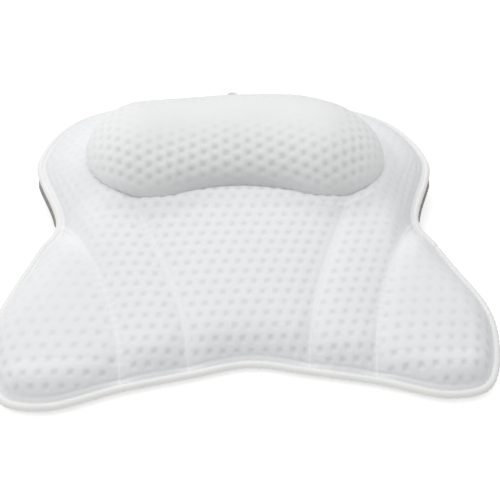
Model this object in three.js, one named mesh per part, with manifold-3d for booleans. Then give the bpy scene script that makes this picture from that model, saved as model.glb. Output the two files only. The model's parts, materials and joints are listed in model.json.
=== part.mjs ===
// Bath pillow: an air-mesh pad with wings and a kidney-shaped headrest, held to the bath by suction cups.
// Millimetres, +Z up. The plan is drawn from the front of the wings (Y = 0) towards the head end, and the
// whole part is then moved so that its origin is on the floor under the middle of its bounding box.

import * as THREE from 'three';
import Module from 'manifold-3d';

const wasm = await Module();
wasm.setup();

// Outline of the pad in plan, measured over the piping
const PAD_LENGTH = 376;
const FRONT_NOTCH = 32;
const WING_SPAN = 408;
const WING_TIP_SETBACK = 66;
const WING_FRONT_SPACING = 300;
const WING_CORNER_SPAN = 366;
const WING_CORNER_SETBACK = 9;
const WING_SIDE_SPAN = 358;
const WING_SIDE_SETBACK = 152;
const NECK_SPAN = 334;
const NECK_SETBACK = 177;
const LOBE_SPAN = 392;
const LOBE_SETBACK = 260;
const LOBE_CORNER_SPAN = 342;
const LOBE_CORNER_SETBACK = 334;
const BACK_CORNER_SPAN = 190;
const BACK_CORNER_SETBACK = 373;

// Seams between the panels of the top cover
const INNER_SEAM_SPACING = 90;
const INNER_SEAM_SETBACK = 24;
const OUTER_SEAM_SPACING = 190;
const OUTER_SEAM_SETBACK = 14;
const SEAM_LEAN = 0.01;
const SEAM_PULL = 0.33;
const INNER_SEAM_FLARE = 0.1;
const OUTER_SEAM_FLARE = 0.22;
const SEAM_JOIN_SHARE = 0.46;
const GROOVE_DEPTH = 3;
const GROOVE_WIDTH = 18;

// Cloth, piping and filling
const COVER_THICKNESS = 3;
const PIPING_DIAMETER = 6;
const FLANGE_THICKNESS = 0.8;
const CLEARANCE = 0.3;
const FILL_SLACK = 0.6;

// Heights of the rim (middle of the piping) and of the crown of the pad
const RIM_FRONT_HEIGHT = 6;
const RIM_BACK_HEIGHT = 30;
const CROWN_FRONT_HEIGHT = 24;
const CROWN_BACK_HEIGHT = 52;
const ROLL_FRONT_WIDTH = 18;
const ROLL_BACK_WIDTH = 48;
const ROLL_POWER = 2.4;
const REAR_ROLL_WIDTH = 26;
const REAR_ROLL_POWER = 2;

// Headrest: a bolster along an arc, sewn to the pad
const SPINE_RADIUS = 205;
const SPINE_HALF_LENGTH = 76;
const SPINE_SETBACK = 253;
const HEADREST_HALF_DEPTH = 62;
const HEADREST_HEIGHT = 47;
const HEADREST_TUCK = THREE.MathUtils.degToRad(10);
const PLATFORM_HALF_DEPTH = 40;

// Suction cups and the patches that hold them
const CUP_DIAMETER = 54;
const CUP_LIP_WIDTH = 4;
const CUP_LIP_THICKNESS = 1;
const CUP_DOME_HEIGHT = 8;
const CUP_DOME_POWER = 1.2;
const CUP_HOLLOW_POWER = 1.4;
const CUP_WALL = 2.2;
const CUP_NECK_DIAMETER = 9;
const CUP_HEAD_DIAMETER = 17;
const CUP_HEAD_THICKNESS = 3;
const CUP_PLAY = 1;
const TAB_WIDTH = 11;
const TAB_REACH = 9;
const TAB_THICKNESS = 1.4;
const PATCH_SIZE = 40;
const PATCH_THICKNESS = 1.2;
const PATCH_FLAT_MARGIN = 1.5;
const PATCH_SLOPE_WIDTH = 7;
const PATCH_CORNER_POWER = 6;
const BUTTONHOLE_PLAY = 0.4;
const CUP_EDGE_MARGIN = 14;
const HEAD_CUP_SPACING = 216;
const MIDDLE_CUP_SPACING = 128;
const MIDDLE_CUP_SETBACK = 160;

// Hanging loop at the middle of the back edge
const LOOP_CORD_DIAMETER = 3.2;
const LOOP_WIDTH = 15;
const LOOP_REACH = 19;
const LOOP_SEAT_ANGLE = THREE.MathUtils.degToRad(35);

// Fineness of the curved forms
const SEAM_ROWS = 15;
const LOBE_ROWS = 12;
const CENTRE_COLUMNS = 4;
const BAND_COLUMNS = 5;
const HEADREST_ARC_STEPS = 5;
const HEADREST_END_STEPS = 8;
const HEADREST_RINGS = 7;
const OUTLINE_SAMPLES = 600;
const SEAM_SAMPLES = 60;
const CUP_SIDES = 20;
const CUP_STEPS = 4;
const CUP_HEAD_STEPS = 2;
const PATCH_SIDES = 16;
const CORD_SIDES = 10;
const LOOP_STEPS = 16;
const GRADING = 1.7;

// Places worked out from the sizes above
const pipingRadius = PIPING_DIAMETER / 2;
const coverInset = PIPING_DIAMETER + CLEARANCE;
const innerInset = coverInset + COVER_THICKNESS;
const fillInset = innerInset + CLEARANCE;
const edgeLift = FLANGE_THICKNESS / 2 + CLEARANCE;
const spineAngle = Math.asin(SPINE_HALF_LENGTH / SPINE_RADIUS);
const patchBottom = CUP_DOME_HEIGHT + CUP_PLAY;
const headBottom = patchBottom + PATCH_THICKNESS + CLEARANCE;
const cupHeight = headBottom + CUP_HEAD_THICKNESS;
const panelHeight = cupHeight + CLEARANCE;
const headrestBase = CROWN_BACK_HEIGHT + CLEARANCE;
const headrestTop = headrestBase + HEADREST_HEIGHT;
const rampEnd = SPINE_SETBACK - HEADREST_HALF_DEPTH - SPINE_RADIUS * (1 - Math.cos(spineAngle));

const plan = (x, y) => new THREE.Vector2(x, y);
const mirrored = (point) => plan(-point.x, point.y);
const clamp01 = (value) => Math.min(1, Math.max(0, value));

// Outline over the piping, anticlockwise from the middle of the front edge
const rightSide = [
  plan(INNER_SEAM_SPACING / 2, INNER_SEAM_SETBACK),
  plan(OUTER_SEAM_SPACING / 2, OUTER_SEAM_SETBACK),
  plan(WING_FRONT_SPACING / 2, 0),
  plan(WING_CORNER_SPAN / 2, WING_CORNER_SETBACK),
  plan(WING_SPAN / 2, WING_TIP_SETBACK),
  plan(WING_SIDE_SPAN / 2, WING_SIDE_SETBACK),
  plan(NECK_SPAN / 2, NECK_SETBACK),
  plan(LOBE_SPAN / 2, LOBE_SETBACK),
  plan(LOBE_CORNER_SPAN / 2, LOBE_CORNER_SETBACK),
  plan(BACK_CORNER_SPAN / 2, BACK_CORNER_SETBACK),
];
const outlinePoints = [
  plan(0, FRONT_NOTCH),
  ...rightSide,
  plan(0, PAD_LENGTH),
  ...rightSide.map(mirrored).reverse(),
];
const outline = new THREE.CatmullRomCurve3(
  outlinePoints.map((point) => new THREE.Vector3(point.x, point.y, 0)), true, 'centripetal');
const stop = (place) => place / outlinePoints.length;
const INNER_STOP = stop(1);
const OUTER_STOP = stop(2);
const NECK_STOP = stop(7);
const BACK_STOP = stop(11);

/** Point of the rim at a share of the outline, moved inwards by the inset. */
function rimPoint(share, inset) {
  const point = outline.getPoint(share);
  const along = outline.getTangent(share);
  return plan(point.x - along.y * inset, point.y + along.x * inset);
}

/** Shortest distance in plan from a point to a line of points. */
function distanceTo(line, point) {
  let nearest = Infinity;
  for (let i = 1; i < line.length; i += 1) {
    const start = line[i - 1];
    const run = line[i].clone().sub(start);
    const share = clamp01(point.clone().sub(start).dot(run) / run.lengthSq());
    nearest = Math.min(nearest, start.clone().addScaledVector(run, share).distanceTo(point));
  }
  return nearest;
}

/** Outline of the headrest at a distance from its spine; share 0 is its front middle, 1 its back middle. */
function headrestPoint(reach, share) {
  const steps = 2 * HEADREST_ARC_STEPS + HEADREST_END_STEPS;
  const frontShare = HEADREST_ARC_STEPS / steps;
  const centre = plan(0, SPINE_SETBACK - SPINE_RADIUS);
  const polar = (radius, angle) => plan(Math.sin(angle), Math.cos(angle)).multiplyScalar(radius).add(centre);
  if (share <= frontShare) {
    return polar(SPINE_RADIUS - reach, spineAngle * share / frontShare);
  }
  if (share >= 1 - frontShare) {
    return polar(SPINE_RADIUS + reach, spineAngle * (1 - share) / frontShare);
  }
  const turn = spineAngle + Math.PI * (1 - (share - frontShare) / (1 - 2 * frontShare));
  return polar(SPINE_RADIUS, spineAngle).add(plan(Math.sin(turn), Math.cos(turn)).multiplyScalar(reach));
}

/** Seam that leans out a little at its start and flares at its end, by shares of its run. */
function seamCurve(start, end, flare) {
  const run = end.y - start.y;
  return new THREE.CubicBezierCurve(start, plan(start.x + SEAM_LEAN * run, start.y + SEAM_PULL * run),
    plan(end.x - flare * run, end.y - SEAM_PULL * run), end);
}

// The inner seam runs in under the headrest and joins the platform that the headrest covers
function innerSeam(inset) {
  const end = headrestPoint(PLATFORM_HALF_DEPTH, SEAM_JOIN_SHARE);
  return seamCurve(rimPoint(INNER_STOP, inset), end, INNER_SEAM_FLARE);
}

function outerSeam(inset) {
  return seamCurve(rimPoint(OUTER_STOP, inset), rimPoint(NECK_STOP, inset), OUTER_SEAM_FLARE);
}

const outlineLine = outline.getPoints(OUTLINE_SAMPLES).map((point) => plan(point.x, point.y));
const seamLines = [innerSeam, outerSeam].map((seam) => seam(coverInset).getPoints(SEAM_SAMPLES));

/** Height of the middle of the piping. */
function rimHeight(y) {
  const share = THREE.MathUtils.smoothstep(y, WING_TIP_SETBACK, LOBE_SETBACK);
  return THREE.MathUtils.lerp(RIM_FRONT_HEIGHT, RIM_BACK_HEIGHT, share);
}

/** Share of the full height reached at a share of the way in from the rim. */
function roll(share, power) {
  return 1 - (1 - clamp01(share)) ** power;
}

/** Width of the rolled edge of the top face, which widens from the fronts of the wings to their sides. */
function rollWidth(y) {
  const share = THREE.MathUtils.smoothstep(y, WING_CORNER_SETBACK, WING_SIDE_SETBACK);
  return THREE.MathUtils.lerp(ROLL_FRONT_WIDTH, ROLL_BACK_WIDTH, share);
}

/** Top face of the pad, sunk below the outside of the cover by the depth. */
function topHeight(point, depth, inset) {
  const away = distanceTo(outlineLine, point) - inset;
  const rise = roll(away / rollWidth(point.y), ROLL_POWER);
  const ramp = clamp01((point.y - FRONT_NOTCH) / (rampEnd - FRONT_NOTCH));
  const folded = plan(Math.abs(point.x), point.y);
  const near = Math.min(...seamLines.map((line) => distanceTo(line, folded)));
  const groove = GROOVE_DEPTH * (1 - clamp01(near / GROOVE_WIDTH)) ** 2;
  const base = rimHeight(point.y) + edgeLift;
  const crown = THREE.MathUtils.lerp(CROWN_FRONT_HEIGHT, CROWN_BACK_HEIGHT, ramp) - depth - groove;
  return { height: base + (crown - base) * rise, rise };
}

/** Inside face of the rear cover. */
function rearHeight(point) {
  const away = distanceTo(outlineLine, point) - fillInset;
  const rise = roll(away / REAR_ROLL_WIDTH, REAR_ROLL_POWER);
  const base = rimHeight(point.y) - edgeLift;
  return { height: base + (panelHeight + COVER_THICKNESS - base) * rise, rise };
}

/** Faces of a grid of points, row by row, turned anticlockwise. */
function gridFaces(rows, columns, first = 0) {
  const faces = [];
  for (let row = 0; row < rows - 1; row += 1) {
    for (let column = 0; column < columns - 1; column += 1) {
      const a = first + row * columns + column;
      const b = a + columns;
      faces.push([a, a + 1, b + 1], [a, b + 1, b]);
    }
  }
  return faces;
}

/** Geometry from points and faces: equal points become one and faces without area are left out. */
function welded(points, faces) {
  const places = new Map();
  const positions = [];
  const index = points.map((point) => {
    const key = point.toArray().map((value) => Math.round(value * 1000)).join();
    if (!places.has(key)) {
      places.set(key, places.size);
      positions.push(...point.toArray());
    }
    return places.get(key);
  });
  const kept = faces.map((face) => face.map((corner) => index[corner]))
    .filter(([a, b, c]) => a !== b && b !== c && c !== a);
  const geometry = new THREE.BufferGeometry();
  geometry.setAttribute('position', new THREE.Float32BufferAttribute(positions, 3));
  geometry.setIndex(kept.flat());
  return geometry;
}

/**
 * Closed body between an upper and a lower sheet that have the same faces. Its walls are split the same
 * way on both sides of a seam, so that two panels that meet there stay parallel.
 */
function slab(upper, lower, faces) {
  const count = upper.length;
  const places = new Map();
  const same = upper.map((point, i) => {
    const key = point.toArray().map((value) => Math.round(value * 1000)).join();
    if (!places.has(key)) {
      places.set(key, i);
    }
    return places.get(key);
  });
  const sheet = faces.map((face) => face.map((corner) => same[corner]))
    .filter(([a, b, c]) => a !== b && b !== c && c !== a);
  const edges = new Map();
  sheet.forEach((face) => face.forEach((from, i) => edges.set(`${from},${face[(i + 1) % 3]}`, true)));
  const body = [];
  sheet.forEach(([a, b, c]) => {
    body.push([a, b, c], [a + count, c + count, b + count]);
    [[a, b], [b, c], [c, a]].filter(([from, to]) => !edges.has(`${to},${from}`)).forEach(([from, to]) => {
      if (upper[from].y < upper[to].y) {
        body.push([to, from, to + count], [from, from + count, to + count]);
      } else {
        body.push([to, from, from + count], [to, from + count, to + count]);
      }
    });
  });
  return welded([...upper, ...lower], body);
}

/** A line of plan points moved to its left (positive) or right (negative). */
function shifted(line, amount) {
  return line.map((point, i) => {
    const ahead = line[Math.min(i + 1, line.length - 1)].clone().sub(line[Math.max(i - 1, 0)]).normalize();
    return plan(point.x - ahead.y * amount, point.y + ahead.x * amount);
  });
}

const rowShare = (row) => (row / SEAM_ROWS) ** GRADING;
const bandShares = Array.from({ length: BAND_COLUMNS + 1 }, (_, i) => 1 - (1 - i / BAND_COLUMNS) ** GRADING);
const centreShares = Array.from({ length: CENTRE_COLUMNS + 1 }, (_, i) => i / CENTRE_COLUMNS);
const seamRows = Array.from({ length: SEAM_ROWS + 1 }, (_, i) => i);
const lobeShares = Array.from({ length: LOBE_ROWS }, (_, i) => (i + 1) / LOBE_ROWS);

/** Rows of points from one edge to another; the first row bends onto the front edge of the pad. */
function ladder(from, to, shares, front) {
  const points = [];
  from.forEach((start, row) => shares.forEach((share, column) => {
    const point = start.clone().lerp(to[row], share);
    if (front && row < SEAM_ROWS) {
      const bow = front[column].clone().sub(from[0].clone().lerp(to[0], share));
      point.addScaledVector(bow, (1 - rowShare(row)) ** 3);
    }
    points.push(point);
  }));
  return points;
}

/** Plan of the four top panels at an inset from the outline, with a gap along the seams. */
function panelPlans(inset, gap) {
  const inner = innerSeam(inset);
  const outer = outerSeam(inset);
  const platform = lobeShares.map((share) => headrestPoint(PLATFORM_HALF_DEPTH,
    THREE.MathUtils.lerp(SEAM_JOIN_SHARE, 1, share)));
  const innerLine = [...seamRows.map((row) => inner.getPoint(rowShare(row))), ...platform];
  const outerLine = seamRows.map((row) => outer.getPoint(rowShare(row)));
  const lobeLine = lobeShares.map((share) => rimPoint(THREE.MathUtils.lerp(NECK_STOP, BACK_STOP, share), inset));
  const wingLine = seamRows.map((row) =>
    rimPoint(THREE.MathUtils.lerp(OUTER_STOP, NECK_STOP, row / SEAM_ROWS), inset));

  const centreEdge = shifted(innerLine, gap / 2);
  centreEdge[centreEdge.length - 1].x = 0;
  const front = centreShares.map((share) =>
    rimPoint(THREE.MathUtils.lerp(-INNER_STOP, INNER_STOP, share) + (share < 0.5 ? 1 : 0), inset));
  const centre = ladder(centreEdge.map(mirrored), centreEdge, centreShares, front);

  const bandEdge = shifted(innerLine, -gap / 2);
  bandEdge[bandEdge.length - 1].x = 0;
  const bandRim = [...shifted(outerLine, gap / 2), ...lobeLine];
  const bandFront = bandShares.map((share) => rimPoint(THREE.MathUtils.lerp(INNER_STOP, OUTER_STOP, share), inset));
  const half = ladder(bandEdge, bandRim, bandShares, bandFront);
  const columns = bandShares.length;
  const rows = half.length / columns;
  const otherHalf = [];
  for (let row = rows - 2; row >= 0; row -= 1) {
    otherHalf.push(...half.slice(row * columns, (row + 1) * columns).map(mirrored));
  }
  const yoke = [...half, ...otherHalf];

  const wingEdge = shifted(outerLine, -gap / 2);
  wingEdge[0] = wingLine[0].clone();
  wingEdge[SEAM_ROWS] = wingLine[SEAM_ROWS].clone();
  const right = ladder(wingEdge, wingLine, bandShares);
  const left = ladder(wingEdge.toReversed().map(mirrored), wingLine.toReversed().map(mirrored), bandShares);
  return {
    centre_panel: { points: centre, columns: centreShares.length },
    yoke_panel: { points: yoke, columns },
    right_wing_panel: { points: right, columns },
    left_wing_panel: { points: left, columns },
  };
}

const lifted = (points, height) => points.map((point) => new THREE.Vector3(point.x, point.y, height(point)));
const facesOf = ({ points, columns }, first = 0) => gridFaces(points.length / columns, columns, first);

/** The four panels as one sheet of points and faces. */
function wholePlan(inset) {
  const points = [];
  const faces = [];
  Object.values(panelPlans(inset, 0)).forEach((panel) => {
    faces.push(...facesOf(panel, points.length));
    points.push(...panel.points);
  });
  return { points, faces };
}

const coverMaterial = new THREE.MeshStandardMaterial({ color: 0xf1f1ef, roughness: 0.9, metalness: 0 });
const rearMaterial = new THREE.MeshStandardMaterial({ color: 0xdcdcda, roughness: 0.92, metalness: 0 });
const pipingMaterial = new THREE.MeshStandardMaterial({ color: 0xf6f6f4, roughness: 0.75, metalness: 0 });
const fillMaterial = new THREE.MeshStandardMaterial({ color: 0xfafafa, roughness: 1, metalness: 0 });
const webbingMaterial = new THREE.MeshStandardMaterial({ color: 0xe9e9e6, roughness: 0.85, metalness: 0 });
const cupMaterial = new THREE.MeshStandardMaterial({ color: 0xd7e0e2, roughness: 0.15, metalness: 0 });

const pillow = new THREE.Group();

function add(name, geometry, material) {
  const mesh = new THREE.Mesh(geometry, material);
  mesh.name = name;
  pillow.add(mesh);
  return mesh;
}

// Top cover: four panels sewn edge to edge
const outsidePlans = panelPlans(coverInset, CLEARANCE);
const insidePlans = panelPlans(innerInset, CLEARANCE);
Object.keys(outsidePlans).forEach((name) => {
  const outside = lifted(outsidePlans[name].points, (point) => topHeight(point, 0, coverInset).height);
  const inside = lifted(insidePlans[name].points,
    (point) => topHeight(point, COVER_THICKNESS, innerInset).height);
  add(name, slab(outside, inside, facesOf(outsidePlans[name])), coverMaterial);
});

// Stops round the rim that the covers, the filling and the piping share
const rimStops = [
  ...centreShares.slice(CENTRE_COLUMNS / 2, -1).map((share) => INNER_STOP * (2 * share - 1)),
  ...bandShares.slice(0, -1).map((share) => THREE.MathUtils.lerp(INNER_STOP, OUTER_STOP, share)),
  ...seamRows.slice(0, -1).map((row) => THREE.MathUtils.lerp(OUTER_STOP, NECK_STOP, row / SEAM_ROWS)),
  ...[0, ...lobeShares].map((share) => THREE.MathUtils.lerp(NECK_STOP, BACK_STOP, share)),
];
rimStops.push(...rimStops.slice(1, -1).map((share) => 1 - share).reverse());

// Filling of the pad, between the inside faces of the covers
const padPlan = wholePlan(fillInset);
const slackAt = (rise) => 4 * FILL_SLACK * rise * (1 - rise);
const fillTop = (point) => {
  const { height, rise } = topHeight(point, COVER_THICKNESS + CLEARANCE, fillInset);
  return height - slackAt(rise);
};
const fillBottom = (point) => {
  const { height, rise } = rearHeight(point);
  return height + CLEARANCE + slackAt(rise);
};
add('pad_fill', slab(lifted(padPlan.points, fillTop), lifted(padPlan.points, fillBottom), padPlan.faces),
  fillMaterial);

// Rear cover: one sheet under the filling, with a flat seam allowance out to the piping
const rearPoints = [...padPlan.points];
const rearFaces = [...padPlan.faces];
const allowance = [coverInset, fillInset].map((inset) => {
  const first = rearPoints.length;
  rearPoints.push(...rimStops.map((share) => rimPoint(share, inset)));
  return first;
});
rimStops.forEach((_, i) => {
  const next = (i + 1) % rimStops.length;
  const [edge, inside] = allowance;
  rearFaces.push([edge + i, edge + next, inside + next], [edge + i, inside + next, inside + i]);
});
add('rear_cover', slab(
  lifted(rearPoints, (point) => rearHeight(point).height),
  lifted(rearPoints, (point) => rearHeight(point).height - COVER_THICKNESS),
  rearFaces), rearMaterial);

// Piping: a cord with a sewing flange, swept round the rim at the same stops as the edges of the covers
const rootAngle = Math.asin(FLANGE_THICKNESS / PIPING_DIAMETER);
const pipingSection = Array.from({ length: CORD_SIDES + 1 }, (_, i) => {
  const angle = -Math.PI + rootAngle + (2 * Math.PI - 2 * rootAngle) * i / CORD_SIDES;
  return plan(pipingRadius - pipingRadius * Math.cos(angle), pipingRadius * Math.sin(angle));
});
pipingSection.push(plan(innerInset, FLANGE_THICKNESS / 2), plan(innerInset, -FLANGE_THICKNESS / 2));

function sweptRing(stops, section) {
  const points = stops.flatMap((share) => section.map(({ x: inset, y: lift }) => {
    const point = rimPoint(share, inset);
    return new THREE.Vector3(point.x, point.y, rimHeight(point.y) + lift);
  }));
  const faces = [];
  stops.forEach((_, row) => section.forEach((__, column) => {
    const next = (column + 1) % section.length;
    const a = row * section.length;
    const b = ((row + 1) % stops.length) * section.length;
    faces.push([a + column, b + column, b + next], [a + column, b + next, a + next]);
  }));
  return welded(points, faces);
}
add('edge_piping', sweptRing(rimStops, pipingSection), pipingMaterial);

// Headrest: a domed cover with its own filling, on the flat platform at the head end
const headrestSteps = 2 * (2 * HEADREST_ARC_STEPS + HEADREST_END_STEPS);

function headrestRing(reach, height) {
  return Array.from({ length: headrestSteps }, (_, i) => {
    const share = 2 * i / headrestSteps;
    const point = share <= 1 ? headrestPoint(reach, share) : mirrored(headrestPoint(reach, 2 - share));
    return new THREE.Vector3(point.x, point.y, height);
  });
}

function headrestDome(halfDepth, top) {
  const lowest = Math.sin(-HEADREST_TUCK);
  return Array.from({ length: HEADREST_RINGS + 1 }, (_, ring) => {
    const angle = THREE.MathUtils.lerp(-HEADREST_TUCK, Math.PI / 2, ring / HEADREST_RINGS);
    const share = (Math.sin(angle) - lowest) / (1 - lowest);
    return headrestRing(halfDepth * Math.cos(angle), THREE.MathUtils.lerp(headrestBase, top, share));
  }).flat();
}

function headrestFloor(halfDepth) {
  return Array.from({ length: HEADREST_RINGS + 1 }, (_, ring) =>
    headrestRing(halfDepth * Math.cos(HEADREST_TUCK) * (1 - ring / HEADREST_RINGS), headrestBase)).flat();
}

const ringFaces = [];
for (let ring = 0; ring < HEADREST_RINGS; ring += 1) {
  for (let i = 0; i < headrestSteps; i += 1) {
    const next = (i + 1) % headrestSteps;
    const a = ring * headrestSteps;
    const b = a + headrestSteps;
    ringFaces.push([a + i, a + next, b + next], [a + i, b + next, b + i]);
  }
}
add('headrest_cover', slab(
  headrestDome(HEADREST_HALF_DEPTH, headrestTop),
  headrestDome(HEADREST_HALF_DEPTH - COVER_THICKNESS, headrestTop - COVER_THICKNESS),
  ringFaces), coverMaterial);
const headrestFillDepth = HEADREST_HALF_DEPTH - COVER_THICKNESS - CLEARANCE;
add('headrest_fill', slab(
  headrestDome(headrestFillDepth, headrestTop - COVER_THICKNESS - CLEARANCE),
  headrestFloor(headrestFillDepth),
  ringFaces), fillMaterial);

function toManifold(geometry) {
  const bare = geometry.index ? geometry.toNonIndexed() : geometry;
  const position = bare.getAttribute('position');
  const points = Array.from({ length: position.count }, (_, i) =>
    new THREE.Vector3().fromBufferAttribute(position, i));
  const faces = Array.from({ length: position.count / 3 }, (_, i) => [3 * i, 3 * i + 1, 3 * i + 2]);
  const joined = welded(points, faces);
  return new wasm.Manifold(new wasm.Mesh({
    numProp: 3,
    vertProperties: Float32Array.from(joined.getAttribute('position').array),
    triVerts: Uint32Array.from(joined.index.array),
  }));
}

function fromManifold(solid) {
  const mesh = solid.getMesh();
  const geometry = new THREE.BufferGeometry();
  geometry.setAttribute('position', new THREE.BufferAttribute(mesh.vertProperties, 3));
  geometry.setIndex(new THREE.BufferAttribute(mesh.triVerts, 1));
  return geometry;
}

// Suction cup: a dome with a flat lip, a neck, a button head and a tab to peel it off by
function suctionCup() {
  const radius = CUP_DIAMETER / 2;
  const hollowRadius = radius - CUP_LIP_WIDTH;
  const hollowHeight = CUP_DOME_HEIGHT - CUP_WALL;
  const neckRadius = CUP_NECK_DIAMETER / 2;
  const headRadius = CUP_HEAD_DIAMETER / 2;
  const profile = [];
  for (let i = 0; i <= CUP_STEPS; i += 1) {
    const angle = Math.PI / 2 * i / CUP_STEPS;
    profile.push(plan(hollowRadius * Math.sin(angle), hollowHeight * Math.cos(angle) ** CUP_HOLLOW_POWER));
  }
  profile.push(plan(radius, 0));
  for (let i = 0; i <= CUP_STEPS; i += 1) {
    const share = i / CUP_STEPS;
    const lift = (CUP_DOME_HEIGHT - CUP_LIP_THICKNESS) * Math.sin(Math.PI / 2 * share) ** CUP_DOME_POWER;
    profile.push(plan(THREE.MathUtils.lerp(radius, neckRadius, share), CUP_LIP_THICKNESS + lift));
  }
  profile.push(plan(neckRadius, headBottom), plan(headRadius, headBottom));
  for (let i = 0; i <= CUP_HEAD_STEPS; i += 1) {
    const angle = Math.PI / 2 * i / CUP_HEAD_STEPS;
    const height = headBottom + CUP_HEAD_THICKNESS / 2 * (1 + Math.sin(angle));
    profile.push(plan(i < CUP_HEAD_STEPS ? headRadius * Math.cos(angle) : 0, height));
  }
  const body = new THREE.LatheGeometry(profile, CUP_SIDES);
  body.rotateX(Math.PI / 2);

  const tabEnd = radius + TAB_REACH - TAB_WIDTH / 2;
  const tabShape = new THREE.Shape();
  tabShape.moveTo(radius - CUP_LIP_WIDTH / 2, -TAB_WIDTH / 2);
  tabShape.lineTo(tabEnd, -TAB_WIDTH / 2);
  tabShape.absarc(tabEnd, 0, TAB_WIDTH / 2, -Math.PI / 2, Math.PI / 2, false);
  tabShape.lineTo(radius - CUP_LIP_WIDTH / 2, TAB_WIDTH / 2);
  const tab = new THREE.ExtrudeGeometry(tabShape, { depth: TAB_THICKNESS, bevelEnabled: false, curveSegments: CUP_STEPS });
  tab.translate(0, 0, CLEARANCE);
  return fromManifold(toManifold(body).add(toManifold(tab)));
}

// Patch: a square of webbing with a buttonhole, dished so that the button head of a cup sits inside it
function cupPatch() {
  const hole = CUP_NECK_DIAMETER / 2 + BUTTONHOLE_PLAY;
  const flat = CUP_HEAD_DIAMETER / 2 + PATCH_FLAT_MARGIN;
  const edge = panelHeight - CLEARANCE - PATCH_THICKNESS;
  const rings = [hole, flat, flat + PATCH_SLOPE_WIDTH, PATCH_SIZE / 2];
  const lower = rings.flatMap((radius, ring) => Array.from({ length: PATCH_SIDES }, (_, i) => {
    const angle = 2 * Math.PI * (i + 0.5) / PATCH_SIDES;
    const across = Math.abs(Math.cos(angle)) ** PATCH_CORNER_POWER;
    const along = Math.abs(Math.sin(angle)) ** PATCH_CORNER_POWER;
    const square = (across + along) ** (-1 / PATCH_CORNER_POWER);
    const reach = radius * (ring === rings.length - 1 ? square : 1);
    const height = radius > flat ? edge : patchBottom;
    return new THREE.Vector3(reach * Math.cos(angle), reach * Math.sin(angle), height);
  }));
  const upper = lower.map((point) => new THREE.Vector3(point.x, point.y, point.z + PATCH_THICKNESS));
  const faces = [];
  for (let ring = 0; ring < rings.length - 1; ring += 1) {
    for (let i = 0; i < PATCH_SIDES; i += 1) {
      const next = (i + 1) % PATCH_SIDES;
      const a = ring * PATCH_SIDES;
      const b = a + PATCH_SIDES;
      faces.push([a + i, b + i, b + next], [a + i, b + next, a + next]);
    }
  }
  return slab(upper, lower, faces);
}

// Each pair of cups keeps its patches on the flat of the rear cover, a margin in from where the cover turns
const cupSetback = innerInset + REAR_ROLL_WIDTH + PATCH_SIZE / 2 + CUP_EDGE_MARGIN;
const cupPlaces = {
  head: plan(HEAD_CUP_SPACING / 2, PAD_LENGTH - cupSetback - CUP_EDGE_MARGIN),
  middle: plan(MIDDLE_CUP_SPACING / 2, MIDDLE_CUP_SETBACK),
  wing: plan(WING_SPAN / 2 - cupSetback, cupSetback),
};
Object.entries(cupPlaces).forEach(([place, { x, y }]) => {
  [['right', 1], ['left', -1]].forEach(([hand, side]) => {
    add(`suction_cup_${place}_${hand}`, suctionCup(), cupMaterial).position.set(side * x, y, 0);
    add(`cup_patch_${place}_${hand}`, cupPatch(), webbingMaterial).position.set(side * x, y, 0);
  });
});

// Hanging loop: a cord bent to a U, its round feet against the piping at the middle of the back edge
const cordRadius = LOOP_CORD_DIAMETER / 2;
const bendRadius = LOOP_WIDTH / 2 - cordRadius;
const seatReach = pipingRadius + cordRadius + CLEARANCE;
const loopSeat = new THREE.Vector3(0, PAD_LENGTH - pipingRadius + seatReach * Math.cos(LOOP_SEAT_ANGLE),
  rimHeight(PAD_LENGTH) + seatReach * Math.sin(LOOP_SEAT_ANGLE));

class LoopPath extends THREE.Curve {
  getPoint(share, target = new THREE.Vector3()) {
    const leg = LOOP_REACH - cordRadius - bendRadius;
    const total = 2 * leg + Math.PI * bendRadius;
    const run = share * total;
    if (run <= leg) {
      return target.set(-bendRadius, run, 0);
    }
    if (run >= total - leg) {
      return target.set(bendRadius, total - run, 0);
    }
    const angle = Math.PI - (run - leg) / bendRadius;
    return target.set(bendRadius * Math.cos(angle), leg + bendRadius * Math.sin(angle), 0);
  }
}

const cordShape = new THREE.Shape();
cordShape.absarc(0, 0, cordRadius, 0, 2 * Math.PI, false);
const cord = new THREE.ExtrudeGeometry(cordShape,
  { steps: LOOP_STEPS, curveSegments: CORD_SIDES, bevelEnabled: false, extrudePath: new LoopPath() });
const loop = [-bendRadius, bendRadius].reduce((body, x) => {
  const foot = new THREE.SphereGeometry(cordRadius, CORD_SIDES, CORD_SIDES / 2);
  foot.translate(x, 0, 0);
  return body.add(toManifold(foot));
}, toManifold(cord));
add('hanging_loop', fromManifold(loop), webbingMaterial).position.copy(loopSeat);

// The origin is under the middle of the length from the wing fronts to the end of the loop
const overallLength = loopSeat.y + LOOP_REACH;
pillow.position.y = -overallLength / 2;

export default pillow;
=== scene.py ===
"""Looks of a winged bath pillow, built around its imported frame.

The forms are worked out in millimetres in the plan of the pad, where Y = 0 is at the fronts of the wings,
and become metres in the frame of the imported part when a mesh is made. Right is +X.
"""

import json
import logging
import math
from dataclasses import dataclass, field
from enum import Enum
from functools import partial
from typing import Any, Sequence

import bmesh
import bpy
import numpy as np
from mathutils import Matrix, Vector
from mathutils.kdtree import KDTree


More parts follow.
